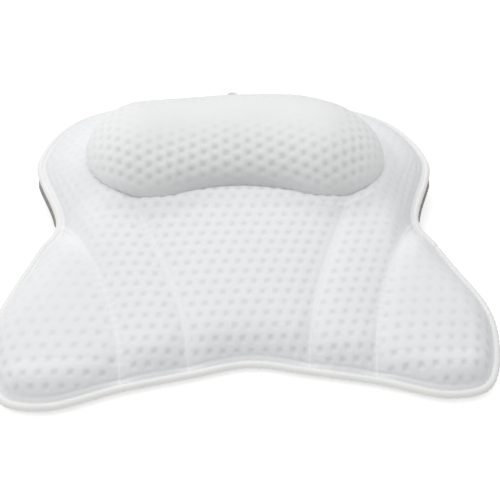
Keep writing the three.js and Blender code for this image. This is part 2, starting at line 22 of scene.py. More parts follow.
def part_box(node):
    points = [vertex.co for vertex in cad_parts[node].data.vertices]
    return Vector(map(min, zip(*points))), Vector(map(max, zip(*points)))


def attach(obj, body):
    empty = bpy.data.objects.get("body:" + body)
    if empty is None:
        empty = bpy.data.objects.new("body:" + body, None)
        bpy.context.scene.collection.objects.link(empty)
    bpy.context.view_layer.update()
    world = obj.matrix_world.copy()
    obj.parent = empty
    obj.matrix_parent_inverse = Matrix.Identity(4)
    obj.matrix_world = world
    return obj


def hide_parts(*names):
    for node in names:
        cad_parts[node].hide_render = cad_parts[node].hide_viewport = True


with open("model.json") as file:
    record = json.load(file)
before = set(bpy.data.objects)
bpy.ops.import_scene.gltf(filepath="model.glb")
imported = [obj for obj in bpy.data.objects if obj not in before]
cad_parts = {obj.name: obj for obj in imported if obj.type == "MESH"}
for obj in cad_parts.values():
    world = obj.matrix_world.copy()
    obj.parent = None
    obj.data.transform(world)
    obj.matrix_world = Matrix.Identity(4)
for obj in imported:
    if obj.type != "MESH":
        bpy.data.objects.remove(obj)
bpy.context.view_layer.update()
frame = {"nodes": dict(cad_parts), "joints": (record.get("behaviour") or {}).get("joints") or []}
MM = 0.001
PIVOTS = {joint["name"]: np.array(joint["pos_m"]) / MM for joint in frame["joints"]}
LOG = logging.getLogger("bath_pillow")
WING_FULLNESS = 4.5
# Order of a face's corners that turns it over
TURNED = [0, 3, 2, 1]
Array = np.ndarray
Piece = bpy.types.Object
Span = tuple[float, float]
Triple = tuple[float, float, float]


def clamp01(value: Array) -> Array:
    """The value, kept between 0 and 1."""
    return np.clip(value, 0.0, 1.0)


def lerp(start: Any, end: Any, share: Any) -> Any:
    """The value at a share of the way from start to end."""
    return start + (end - start) * share


def smoothstep(value: Array, low: float, high: float) -> Array:
    """A smooth step from 0 at low to 1 at high."""
    share = clamp01((value - low) / (high - low))
    return share * share * (3.0 - 2.0 * share)


def hill(value: Array, width: float) -> Array:
    """A round hill of height 1 at 0 that falls off over the width."""
    return np.exp(-(value / width) ** 2)


def uneven_wave(run: Array, pitch: float, seed: float) -> Array:
    """A wave along a run whose pitch and height wander, as sewn cloth puckers do.

    Args:
        run: Distance along the seam, in millimetres.
        pitch: Mean distance between two crests.
        seed: Shifts the wandering, so that two seams differ.

    Returns:
        Heights from about -1 to 1.
    """
    wander = 1.9 * np.sin(run / 23.0 + seed) + 1.3 * np.sin(run / 9.7 + 2.3 * seed)
    swell = 0.65 + 0.35 * np.sin(run / 31.0 + 4.1 * seed)
    return swell * np.sin(2.0 * math.pi * run / pitch + wander)


def unit(vectors: Array, fallback: Sequence[float]) -> Array:
    """Vectors of length 1, with the fallback where a vector has no length."""
    length = np.linalg.norm(vectors, axis=-1, keepdims=True)
    return np.where(length > 1e-9, vectors / np.maximum(length, 1e-9), np.array(fallback))


def run_lengths(points: Array) -> Array:
    """Distance along a line of points, from its first point to each."""
    return np.concatenate([[0.0], np.cumsum(np.linalg.norm(np.diff(points, axis=0), axis=1))])


def raised(plan: Array, height: Array) -> Array:
    """Plan points lifted to their heights."""
    return np.concatenate([plan, height[..., None]], axis=-1)


def ring_points(reach: Any, angle: Array, height: Any) -> Array:
    """Points round the Z axis, from their reaches, angles and heights."""
    return np.stack(np.broadcast_arrays(reach * np.cos(angle), reach * np.sin(angle), height), axis=-1)


def link_new(name: str, data: bpy.types.ID) -> Piece:
    """Makes an object and links it into the scene.

    Args:
        name: Name of the object.
        data: Its mesh, light or camera.

    Returns:
        The object.
    """
    made = bpy.data.objects.new(name, data)
    bpy.context.scene.collection.objects.link(made)
    return made


def evaluated_mesh(piece: Piece) -> bpy.types.Mesh:
    """A new mesh of an object with its modifiers applied."""
    return bpy.data.meshes.new_from_object(piece.evaluated_get(bpy.context.evaluated_depsgraph_get()))


@dataclass(frozen=True)
class PadSizes:
    """Driving sizes of the pad, in millimetres, as in the part's source."""

    length: float = 376.0
    front_notch: float = 32.0
    wing_span: float = 408.0
    wing_tip_setback: float = 66.0
    wing_front_spacing: float = 300.0
    wing_corner_span: float = 366.0
    wing_corner_setback: float = 9.0
    wing_side_span: float = 358.0
    wing_side_setback: float = 152.0
    neck_span: float = 334.0
    neck_setback: float = 177.0
    lobe_span: float = 392.0
    lobe_setback: float = 260.0
    lobe_corner_span: float = 342.0
    lobe_corner_setback: float = 334.0
    back_corner_span: float = 190.0
    back_corner_setback: float = 373.0
    inner_seam_spacing: float = 90.0
    inner_seam_setback: float = 24.0
    outer_seam_spacing: float = 190.0
    outer_seam_setback: float = 14.0
    groove_depth: float = 3.0
    groove_width: float = 18.0
    cover_thickness: float = 3.0
    piping_diameter: float = 6.0
    flange_thickness: float = 0.8
    clearance: float = 0.3
    rim_front_height: float = 6.0
    rim_back_height: float = 30.0
    crown_front_height: float = 24.0
    crown_back_height: float = 52.0
    roll_front_width: float = 18.0
    roll_back_width: float = 48.0
    rear_roll_width: float = 26.0
    platform_half_depth: float = 40.0
    middle_cup_setback: float = 160.0
    rear_panel_height: float = 13.8

    @property
    def cover_inset(self) -> float:
        """Distance from the outside of the piping in to the edge of the covers."""
        return self.piping_diameter + self.clearance

    @property
    def inner_inset(self) -> float:
        """Distance from the outside of the piping in to the inside of the covers."""
        return self.cover_inset + self.cover_thickness

    @property
    def edge_lift(self) -> float:
        """Distance of a cover's edge above or below the middle of the piping."""
        return self.flange_thickness / 2 + self.clearance

    def knots(self) -> Array:
        """The points that the rim passes through.

        Returns:
            Points, anticlockwise from the middle of the front edge.
        """
        right = np.array([
            (self.inner_seam_spacing / 2, self.inner_seam_setback),
            (self.outer_seam_spacing / 2, self.outer_seam_setback),
            (self.wing_front_spacing / 2, 0.0),
            (self.wing_corner_span / 2, self.wing_corner_setback),
            (self.wing_span / 2, self.wing_tip_setback),
            (self.wing_side_span / 2, self.wing_side_setback),
            (self.neck_span / 2, self.neck_setback),
            (self.lobe_span / 2, self.lobe_setback),
            (self.lobe_corner_span / 2, self.lobe_corner_setback),
            (self.back_corner_span / 2, self.back_corner_setback),
        ])
        left = right[::-1] * (-1.0, 1.0)
        return np.vstack([[(0.0, self.front_notch)], right, [(0.0, self.length)], left])


@dataclass(frozen=True)
class HeadrestSizes:
    """Driving sizes of the headrest, in millimetres, as in the part's source."""

    spine_radius: float = 205.0
    spine_half_length: float = 76.0
    spine_setback: float = 253.0
    half_depth: float = 62.0
    tuck: float = math.radians(10.0)
    join_share: float = 0.46
    front_share: float = 5.0 / 18.0

    @property
    def spine_angle(self) -> float:
        """Half the angle that the spine takes up."""
        return math.asin(self.spine_half_length / self.spine_radius)

    def plan(self, reach: Any, share: Any) -> Array:
        """Plan points at a reach from the spine.

        Args:
            reach: Distance from the spine.
            share: 0 at the front middle, 1 at the back middle of the right half.

        Returns:
            Points with their last axis holding X and Y.
        """
        reach, share = np.broadcast_arrays(np.asarray(reach, float), np.asarray(share, float))
        angle, turn, side = self._bearings(share)
        radius = self.spine_radius + side * reach
        past_end = np.where(side == 0, reach, 0.0)
        x = np.sin(angle) * radius + past_end * np.sin(turn)
        y = np.cos(angle) * radius + past_end * np.cos(turn)
        return np.stack([x, y + self.spine_setback - self.spine_radius], axis=-1)

    def outward(self, share: Array) -> Array:
        """Plan directions away from the spine.

        Args:
            share: Shares of the right half, as for its points.

        Returns:
            Vectors of length 1.
        """
        angle, turn, side = self._bearings(share)
        bearing = np.where(side == 0, turn, angle + np.where(side < 0, math.pi, 0.0))
        return np.stack([np.sin(bearing), np.cos(bearing)], axis=-1)

    def _bearings(self, share: Array) -> tuple[Array, Array, Array]:
        """Bearings of the spine and of the round end at shares of the right half.

        Args:
            share: Shares of the right half.

        Returns:
            The spine angle, the bearing round the end and the side: -1 at the front, 0 at the end, 1 at the back.
        """
        front = self.front_share
        side = np.where(share <= front, -1, np.where(share >= 1.0 - front, 1, 0))
        along = np.where(side < 0, share, 1.0 - share) / front
        angle = self.spine_angle * np.where(side == 0, 1.0, along)
        turn = self.spine_angle + math.pi * (1.0 - (share - front) / (1.0 - 2.0 * front))
        return angle, turn, side


class Outline:
    """The rim of the pad in plan: a closed smooth line through its knots, over the piping."""

    SAMPLES = 5200
    STEP = 1e-4

    def __init__(self, knots: Array) -> None:
        """Works out the line.

        Args:
            knots: Points that the line passes through.
        """
        before, start, end, after = (np.roll(knots, shift, axis=0) for shift in (1, 0, -1, -2))
        pairs = ((before, start), (start, end), (end, after))
        gap0, gap1, gap2 = (np.sqrt(np.linalg.norm(b - a, axis=1, keepdims=True)) for a, b in pairs)
        leave = ((start - before) / gap0 - (end - before) / (gap0 + gap1) + (end - start) / gap1) * gap1
        arrive = ((end - start) / gap1 - (after - start) / (gap1 + gap2) + (after - end) / gap2) * gap1
        self.count = len(knots)
        self.terms = (start, leave, 3 * (end - start) - 2 * leave - arrive, 2 * (start - end) + leave + arrive)
        self.shares = np.arange(self.SAMPLES) / self.SAMPLES
        self.samples = self.point(self.shares)
        steps = np.linalg.norm(np.roll(self.samples, -1, axis=0) - self.samples, axis=1)
        self.runs = np.concatenate([[0.0], np.cumsum(steps)[:-1]])
        self.length = float(steps.sum())
        self.inwards = self.inward(self.shares)

    def stop(self, knot: int) -> float:
        """Share of the line at a knot."""
        return knot / self.count

    def point(self, share: Array) -> Array:
        """Points of the line.

        Args:
            share: Shares of the line, which go round and round.

        Returns:
            Points, X and Y along the last axis.
        """
        spot = np.mod(share, 1.0) * self.count
        first = np.minimum(np.floor(spot).astype(int), self.count - 1)
        t = (spot - first)[..., None]
        c0, c1, c2, c3 = (term[first] for term in self.terms)
        return c0 + t * (c1 + t * (c2 + t * c3))

    def inward(self, share: Array) -> Array:
        """Directions square to the line, towards the inside."""
        along = unit(self.point(share + self.STEP) - self.point(share - self.STEP), (1.0, 0.0))
        return np.stack([-along[..., 1], along[..., 0]], axis=-1)

    def rim(self, share: Any, inset: float) -> Array:
        """Points of the rim, moved inwards by the inset."""
        share = np.asarray(share, float)
        return self.point(share) + self.inward(share) * inset

    def even_shares(self, count: int) -> Array:
        """Shares at equal distances round the line."""
        return np.interp(np.arange(count) * self.length / count, self.runs, self.shares)


class NearestOnLine:
    """Finds the nearest of many points of a line."""

    def __init__(self, points: Array) -> None:
        """Stores the points of the line for searching.

        Args:
            points: Points of the line, in order.
        """
        self.runs = run_lengths(points)
        self.tree = KDTree(len(points))
        for index, (x, y) in enumerate(points):
            self.tree.insert((x, y, 0.0), index)
        self.tree.balance()

    def measure(self, plan: Array) -> tuple[Array, Array]:
        """Measures from plan points to the line.

        Args:
            plan: Points, X and Y along the last axis.

        Returns:
            Distances to the line, and the indices of its nearest points.
        """
        flat = plan.reshape(-1, 2)
        found = [self.tree.find((x, y, 0.0))[1:] for x, y in flat.tolist()]
        index, distance = np.array(found).T
        return distance.reshape(plan.shape[:-1]), index.astype(int).reshape(plan.shape[:-1])


def bezier(start: Array, pull: Array, push: Array, end: Array, share: Array) -> Array:
    """Points of a cubic curve at shares of its parameter."""
    t = np.asarray(share, float)[..., None]
    return start * (1 - t) ** 3 + 3 * pull * t * (1 - t) ** 2 + 3 * push * t * t * (1 - t) + end * t ** 3


class Panel(Enum):
    """The four panels of the top cover, by the names of their nodes."""

    CENTRE = "centre_panel"
    YOKE = "yoke_panel"
    RIGHT_WING = "right_wing_panel"
    LEFT_WING = "left_wing_panel"


@dataclass(frozen=True)
class Fineness:
    """How many rows and columns the grids of the panels have."""

    seam_rows: int = 220
    platform_rows: int = 48
    lobe_rows: int = 268
    centre_columns: int = 160
    band_columns: int = 88

    def coarser(self, step: int) -> "Fineness":
        """The same grids with only every so many rows and columns."""
        return Fineness(self.seam_rows // step, self.platform_rows // step, self.lobe_rows // step,
                        self.centre_columns // step, self.band_columns // step)


@dataclass(frozen=True)
class Lattice:
    """Rows of small hollows knitted into the air mesh, each row half a pitch off the next, in millimetres."""

    pitch: float = 10.4
    row_spacing: float = 9.4
    hollow_half_width: float = 2.5
    edge_power: float = 2.6
    turn: float = 0.0
    lean: float = 0.0
    depth: float = 1.0
    unrolled: float = 1.0
    shift: Span = (0.0, 0.0)

    def hollows(self, cloth: Array) -> Array:
        """How deep each point of the cloth lies in a hollow.

        Args:
            cloth: Places on the flat cloth.

        Returns:
            Values from 0 on the level cloth to the lattice's depth in the middle of a hollow.
        """
        cosine, sine = math.cos(self.turn), math.sin(self.turn)
        x = (cloth[..., 0] - self.shift[0]) * cosine + (cloth[..., 1] - self.shift[1]) * sine
        y = (cloth[..., 1] - self.shift[1]) * cosine - (cloth[..., 0] - self.shift[0]) * sine
        nearest_row = np.round(y / self.row_spacing)
        deepest = np.zeros(x.shape)
        for step in (-1, 0, 1):
            row = nearest_row + step
            across = x - 0.5 * self.pitch * np.mod(row, 2) - self.lean * row * self.row_spacing
            across = across - self.pitch * np.round(across / self.pitch)
            along = y - row * self.row_spacing
            size = (np.abs(across) ** 3 + np.abs(along) ** 3) ** (1 / 3) / self.hollow_half_width
            deepest = np.maximum(deepest, np.exp(-size ** self.edge_power))
        return self.depth * deepest


def unrolled_extra(inward: Array, rise: Array, width: Array, power: float) -> Array:
    """How much longer the cloth is over the rolled edge than its plan, from a point in to the crest.

    Args:
        inward: Distance of the point from the rim.
        rise: Height of the crest over the rim.
        width: Width of the roll in plan.
        power: Power of the roll's curve.

    Returns:
        The extra length, 0 from the crest inwards.
    """
    start = np.minimum(np.maximum(inward, 0.0), width)
    extra = np.zeros(start.shape)
    places, weights = np.polynomial.legendre.leggauss(8)
    for place, weight in zip(places, weights):
        spot = lerp(start, width, 0.5 + 0.5 * place)
        slope = rise * power / width * (1.0 - spot / width) ** (power - 1.0)
        extra += 0.5 * weight * (width - start) * (np.sqrt(1.0 + slope ** 2) - 1.0)
    return extra


@dataclass
class Reading:
    """What the form of the pad says about points of its plan."""

    height: Array
    rim_away: Array
    rim_run: Array
    rim_share: Array
    seam_away: Array
    seam_run: Array
    cloth: Array


class PadForm:
    """Plan and heights of the pad that its covers, piping and filling share."""

    ROLL_POWER = 2.4
    REAR_ROLL_POWER = 2.0
    SEAM_FLATTENING = 0.4
    FLATTENED_WIDTH = 11.0
    SEAM_SAMPLES = 800
    GRADING = 1.2
    INNER_KNOT, OUTER_KNOT, NECK_KNOT, BACK_KNOT = 1, 2, 7, 11
    SEAM_START_PULL = (0.01, 0.33)
    INNER_END_PULL = (0.1, 0.33)
    OUTER_END_PULL = (0.22, 0.33)
    # Set the runs of the four seams apart, so that each puckers in its own way
    OUTER_RUN_OFFSET = 500.0
    LEFT_RUN_OFFSET = 200.0

    def __init__(self, sizes: PadSizes, headrest: HeadrestSizes) -> None:
        """Works out the outline and the seams.

        Args:
            sizes: Sizes of the pad.
            headrest: Sizes of the headrest that the seams run under.
        """
        self.sizes = sizes
        self.headrest = headrest
        self.outline = Outline(sizes.knots())
        knots = (self.INNER_KNOT, self.OUTER_KNOT, self.NECK_KNOT, self.BACK_KNOT)
        self.inner_stop, self.outer_stop, self.neck_stop, self.back_stop = map(self.outline.stop, knots)
        self.shift = PIVOTS["spin_middle_right"][1] - sizes.middle_cup_setback
        self.near_rim = NearestOnLine(self.outline.samples)
        shares = np.linspace(0.0, 1.0, self.SEAM_SAMPLES)
        self.seams = [NearestOnLine(seam(sizes.cover_inset, shares)) for seam in (self.inner_seam, self.outer_seam)]
        drop = headrest.spine_radius * (1.0 - math.cos(headrest.spine_angle))
        self.ramp_end = headrest.spine_setback - headrest.half_depth - drop

    def inner_seam(self, inset: float, share: Array) -> Array:
        """Points of the right inner seam, from the front edge in under the headrest."""
        end = self.headrest.plan(self.sizes.platform_half_depth, self.headrest.join_share)
        return self._seam(self.outline.rim(self.inner_stop, inset), end, self.INNER_END_PULL, share)

    def outer_seam(self, inset: float, share: Array) -> Array:
        """Points of the right outer seam, from the front edge to the neck."""
        end = self.outline.rim(self.neck_stop, inset)
        return self._seam(self.outline.rim(self.outer_stop, inset), end, self.OUTER_END_PULL, share)

    def _seam(self, start: Array, end: Array, end_pull: Span, share: Array) -> Array:
        """Points of a seam, which leaves the front edge almost straight back and is pulled in to its end."""
        run = end[1] - start[1]
        return bezier(start, start + run * np.array(self.SEAM_START_PULL), end - run * np.array(end_pull), end, share)

    def rim_height(self, y: Array) -> Array:
        """Height of the middle of the piping."""
        share = smoothstep(y, self.sizes.wing_tip_setback, self.sizes.lobe_setback)
        return lerp(self.sizes.rim_front_height, self.sizes.rim_back_height, share)

    def read_top(self, plan: Array, depth: float, inset: float) -> Reading:
        """Reads the top face at plan points.

        Args:
            plan: Points, X and Y along the last axis.
            depth: How far the face lies below the outside of the cover.
            inset: Distance of the cover's edge from the outline.

        Returns:
            The reading, with arrays shaped as the points are.
        """
        sizes = self.sizes
        from_rim, rim_index = self.near_rim.measure(plan)
        away = from_rim - inset
        width = lerp(sizes.roll_front_width, sizes.roll_back_width,
                     smoothstep(plan[..., 1], sizes.wing_corner_setback, sizes.wing_side_setback))
        ramp = clamp01((plan[..., 1] - sizes.front_notch) / (self.ramp_end - sizes.front_notch))
        folded = np.stack([np.abs(plan[..., 0]), plan[..., 1]], axis=-1)
        (inner_away, inner_index), (outer_away, outer_index) = (seam.measure(folded) for seam in self.seams)
        seam_away = np.minimum(inner_away, outer_away)
        width = width * (1.0 + self.SEAM_FLATTENING * hill(seam_away, self.FLATTENED_WIDTH))
        share = clamp01(away / width)
        inner_run, outer_run = self.seams[0].runs[inner_index], self.seams[1].runs[outer_index]
        seam_run = np.where(inner_away < outer_away, inner_run, self.OUTER_RUN_OFFSET + outer_run)
        groove = sizes.groove_depth * (1.0 - clamp01(seam_away / sizes.groove_width)) ** 2
        base = self.rim_height(plan[..., 1]) + sizes.edge_lift
        crown = lerp(sizes.crown_front_height, sizes.crown_back_height, ramp) - depth - groove
        height = base + (crown - base) * (1.0 - (1.0 - share) ** self.ROLL_POWER)
        extra = unrolled_extra(away, crown - base, width, self.ROLL_POWER)
        cloth = plan - self.outline.inwards[rim_index] * extra[..., None]
        seam_run = seam_run + self.LEFT_RUN_OFFSET * (plan[..., 0] < 0)
        return Reading(height, away, self.outline.runs[rim_index], self.outline.shares[rim_index],
                       seam_away, seam_run, cloth)

    def rear_height(self, plan: Array, away: Array) -> Array:
        """Height of the outside of the rear cover.

        Args:
            plan: Points, X and Y along the last axis.
            away: Their distances from the outline.

        Returns:
            The heights.
        """
        sizes = self.sizes
        share = clamp01((away - sizes.inner_inset - sizes.clearance) / sizes.rear_roll_width)
        base = self.rim_height(plan[..., 1]) - sizes.edge_lift - sizes.cover_thickness
        return lerp(base, sizes.rear_panel_height, 1.0 - (1.0 - share) ** self.REAR_ROLL_POWER)

    def panel_plan(self, panel: Panel, inset: float, gap: float, fineness: Fineness) -> Array:
        """Grid of plan points of one panel.

        Args:
            panel: Which panel.
            inset: Distance of its edge from the outline.
            gap: Gap along the seams.
            fineness: Rows and columns of the grid.

        Returns:
            An array of rows, columns and X and Y, which faces up.
        """
        rows = np.linspace(0.0, 1.0, fineness.seam_rows + 1)
        graded = rows ** self.GRADING
        if panel is Panel.CENTRE:
            edge = self._shifted(self._inner_line(graded, inset, fineness.platform_rows), gap / 2)
            edge[-1, 0] = 0.0
            shares = np.linspace(0.0, 1.0, fineness.centre_columns + 1)
            front = self.outline.rim(lerp(-self.inner_stop, self.inner_stop, shares), inset)
            return self._ladder(edge * (-1.0, 1.0), edge, shares, front, graded)
        columns = np.linspace(0.0, 1.0, fineness.band_columns + 1)
        outer = self.outer_seam(inset, graded)
        if panel is Panel.YOKE:
            edge = self._shifted(self._inner_line(graded, inset, fineness.lobe_rows), -gap / 2)
            edge[-1, 0] = 0.0
            lobes = np.linspace(0.0, 1.0, fineness.lobe_rows + 1)[1:]
            lobe_rim = self.outline.rim(lerp(self.neck_stop, self.back_stop, lobes), inset)
            rim = np.vstack([self._shifted(outer, gap / 2), lobe_rim])
            front = self.outline.rim(lerp(self.inner_stop, self.outer_stop, columns), inset)
            half = self._ladder(edge, rim, columns, front, graded)
            return np.concatenate([half, half[-2::-1] * (-1.0, 1.0)])
        rim = self.outline.rim(lerp(self.outer_stop, self.neck_stop, rows), inset)
        edge = self._shifted(outer, -gap / 2)
        edge[0], edge[-1] = rim[0], rim[-1]
        wing = self._ladder(edge, rim, columns)
        return wing if panel is Panel.RIGHT_WING else wing[::-1] * (-1.0, 1.0)

    def _inner_line(self, graded: Array, inset: float, platform_rows: int) -> Array:
        """The right inner seam, going on round the platform under the headrest to its back."""
        shares = lerp(self.headrest.join_share, 1.0, np.linspace(0.0, 1.0, platform_rows + 1)[1:])
        return np.vstack([self.inner_seam(inset, graded), self.headrest.plan(self.sizes.platform_half_depth, shares)])

    @staticmethod
    def _shifted(line: Array, amount: float) -> Array:
        """A line moved to its left, or to its right by a negative amount."""
        ahead = unit(np.gradient(line, axis=0), (0.0, 1.0))
        return line + amount * np.stack([-ahead[:, 1], ahead[:, 0]], axis=-1)

    @staticmethod
    def _ladder(start: Array, end: Array, shares: Array,
                front: Array | None = None, graded: Array | None = None) -> Array:
        """Rows of points from one edge to another.

        Args:
            start: Points of the edge where the rows start.
            end: Points of the edge where they end.
            shares: Shares of the way along each row.
            front: Points that the first row is bent onto, where it is bent.
            graded: Shares of the way along the edges, over which the bend fades out.

        Returns:
            An array of rows, columns and X and Y.
        """
        grid = start[:, None] + (end - start)[:, None] * shares[None, :, None]
        if front is not None:
            bow = front - grid[0]
            fade = np.zeros(len(grid))
            fade[:len(graded)] = (1.0 - graded) ** 3
            grid = grid + bow[None] * fade[:, None, None]
        return grid


def grid_normals(grid: Array) -> Array:
    """Normals of a grid of points, facing the side that its faces do."""
    return unit(np.cross(np.gradient(grid, axis=1), np.gradient(grid, axis=0)), (0.0, 0.0, 1.0))


def grid_faces(rows: int, columns: int, first: int = 0) -> Array:
    """Four-sided faces of a grid of points, turned anticlockwise."""
    corner = first + (np.arange(rows - 1)[:, None] * columns + np.arange(columns - 1)[None]).ravel()
    return np.stack([corner, corner + 1, corner + columns + 1, corner + columns], axis=1)


def grid_border(rows: int, columns: int, first: int = 0) -> list[int]:
    """Indices of the border points of a grid, anticlockwise."""
    index = first + np.arange(rows * columns).reshape(rows, columns)
    return np.concatenate([index[0, :-1], index[:-1, -1], index[-1, :0:-1], index[:0:-1, 0]]).tolist()


def tube_faces(rows: int, columns: int, closed: bool) -> Array:
    """Four-sided faces of a tube of points.

    Args:
        rows: Rows along the tube.
        columns: Points round each row.
        closed: Whether the last row meets the first.

    Returns:
        Indices of the corners of each face.
    """
    index = np.arange(rows * columns).reshape(rows, columns)
    ahead, beside = np.roll(index, -1, axis=0), np.roll(index, -1, axis=1)
    faces = np.stack([index, ahead, np.roll(ahead, -1, axis=1), beside], axis=-1)
    return faces[:rows if closed else -1].reshape(-1, 4)


def spread_matrix(fine: int, coarse: int) -> Array:
    """Weights that spread values on coarse steps smoothly over fine ones.

    Args:
        fine: How many fine steps there are.
        coarse: How many coarse steps there are.

    Returns:
        Weights by fine and coarse step.
    """
    spot = np.linspace(0.0, coarse - 1.0, fine)
    first = np.minimum(spot.astype(int), coarse - 2)
    t = spot - first
    weights = np.zeros((fine, coarse))
    terms = ((-1, 0.5 * (-t + 2 * t ** 2 - t ** 3)), (0, 0.5 * (2 - 5 * t ** 2 + 3 * t ** 3)),
             (1, 0.5 * (t + 4 * t ** 2 - 3 * t ** 3)), (2, 0.5 * (t ** 3 - t ** 2)))
    for step, weight in terms:
        np.add.at(weights, (np.arange(fine), np.clip(first + step, 0, coarse - 1)), weight)
    return weights


def spread(moved: Array, rows: int, columns: int) -> Array:
    """Moves of a coarse grid, spread smoothly over a finer one."""
    row_weights, column_weights = spread_matrix(rows, moved.shape[0]), spread_matrix(columns, moved.shape[1])
    return np.einsum("ri,cj,ijk->rck", row_weights, column_weights, moved)


class MeshMaker:
    """Turns points in millimetres of the pad's plan into objects in the frame of the part."""

    SHARP = math.radians(60.0)
    FULL_SETBACK = 92.0
    FULL_LENGTH = 32.0
    FULL_START = (163.0, 200.0)

    def __init__(self, shift: float, fullness: float) -> None:
        """Keeps how far the plan lies along Y from the part's origin, and how full the right wing's side is."""
        self.shift = np.array((0.0, shift, 0.0))
        self.fullness = fullness

    def placed(self, points: Array) -> Array:
        """Points in metres of the part's frame, with the fuller side of the right wing."""
        fuller = hill(points[:, 1] - self.FULL_SETBACK, self.FULL_LENGTH) * smoothstep(points[:, 0], *self.FULL_START)
        return (points + self.shift + np.outer(self.fullness * fuller, (1.0, 0.0, 0.0))) * MM

    def make(self, name: str, points: Array, faces: Sequence[Sequence[int]], material: bpy.types.Material,
             cloth: Array | None = None, hollow: Array | None = None) -> Piece:
        """Makes an object.

        Args:
            name: Name of the piece.
            points: Its points, in millimetres of the plan.
            faces: Its faces, as indices of points.
            material: Its finish.
            cloth: Places of the points on the flat cloth, in millimetres, kept as a UV map.
            hollow: How dark the finish paints each point: the depth in the hollows of the cloth as painted shade,
                plus any further painted shade, and painted light where negative.

        Returns:
            The object, at the origin, with its place in its mesh.
        """
        mesh = bpy.data.meshes.new(name)
        mesh.from_pydata(self.placed(points).tolist(), [], [list(face) for face in faces])
        if cloth is not None:
            corners = np.empty(len(mesh.loops), dtype=np.int32)
            mesh.loops.foreach_get("vertex_index", corners)
            layer = mesh.uv_layers.new(name="cloth")
            layer.data.foreach_set("uv", cloth[corners].astype(np.float32).ravel())
        if hollow is not None:
            layer = mesh.attributes.new("hollow", "FLOAT", "POINT")
            layer.data.foreach_set("value", hollow.astype(np.float32))
        self.close(mesh)
        mesh.materials.append(material)
        return link_new(name, mesh)

    @classmethod
    def close(cls, mesh: bpy.types.Mesh) -> None:
        """Merges equal points, drops faces without area and shades the mesh smooth up to its sharp edges.

        Args:
            mesh: The mesh, which is changed.
        """
        shape = bmesh.new()
        shape.from_mesh(mesh)
        bmesh.ops.remove_doubles(shape, verts=shape.verts, dist=2e-6)
        bmesh.ops.dissolve_degenerate(shape, edges=shape.edges, dist=1e-7)
        for edge in shape.edges:
            edge.smooth = edge.calc_face_angle(0.0) < cls.SHARP
        shape.to_mesh(mesh)
        shape.free()
        mesh.polygons.foreach_set("use_smooth", [True] * len(mesh.polygons))
        mesh.update()

    def shell(self, name: str, outer: Array, inner: Array, step: int, material: bpy.types.Material,
              cloth: Array, hollow: Array, ring: bool = False) -> Piece:
        """Makes a closed cover from its fine outside and its coarser inside.

        Args:
            name: Name of the piece.
            outer: Grid of the outside, facing out.
            inner: Grid of the inside, with every so many rows and columns of the outside.
            step: How many steps of the outside one step of the inside takes.
            material: Its finish.
            cloth: Places of the outside on the flat cloth.
            hollow: Depth of the outside in the hollows of the cloth, plus any further painted shade, and painted
                light where negative; the finish paints it as darker or lighter cloth.
            ring: Whether the rows go round, so that only the first row is an edge.

        Returns:
            The object.
        """
        rows, columns = outer.shape[:2]
        first = rows * columns
        faces = grid_faces(rows, columns).tolist()
        faces += grid_faces(*inner.shape[:2], first)[:, ::-1].tolist()
        if ring:
            rim, inner_rim = range(columns), range(first, first + inner.shape[1])
        else:
            rim, inner_rim = grid_border(rows, columns), grid_border(*inner.shape[:2], first)
            rim, inner_rim = [*rim, rim[0]], [*inner_rim, inner_rim[0]]
        for place in range(len(inner_rim) - 1):
            fine = rim[place * step:(place + 1) * step + 1]
            faces.append([*fine[::-1], *inner_rim[place:place + 2]])
        points = np.vstack([outer.reshape(-1, 3), inner.reshape(-1, 3)])
        flat = np.vstack([cloth.reshape(-1, 2), cloth[::step, ::step].reshape(-1, 2)])
        depths = np.concatenate([hollow.ravel(), np.zeros(inner[..., 0].size)])
        return self.make(name, points, faces, material, flat, depths)


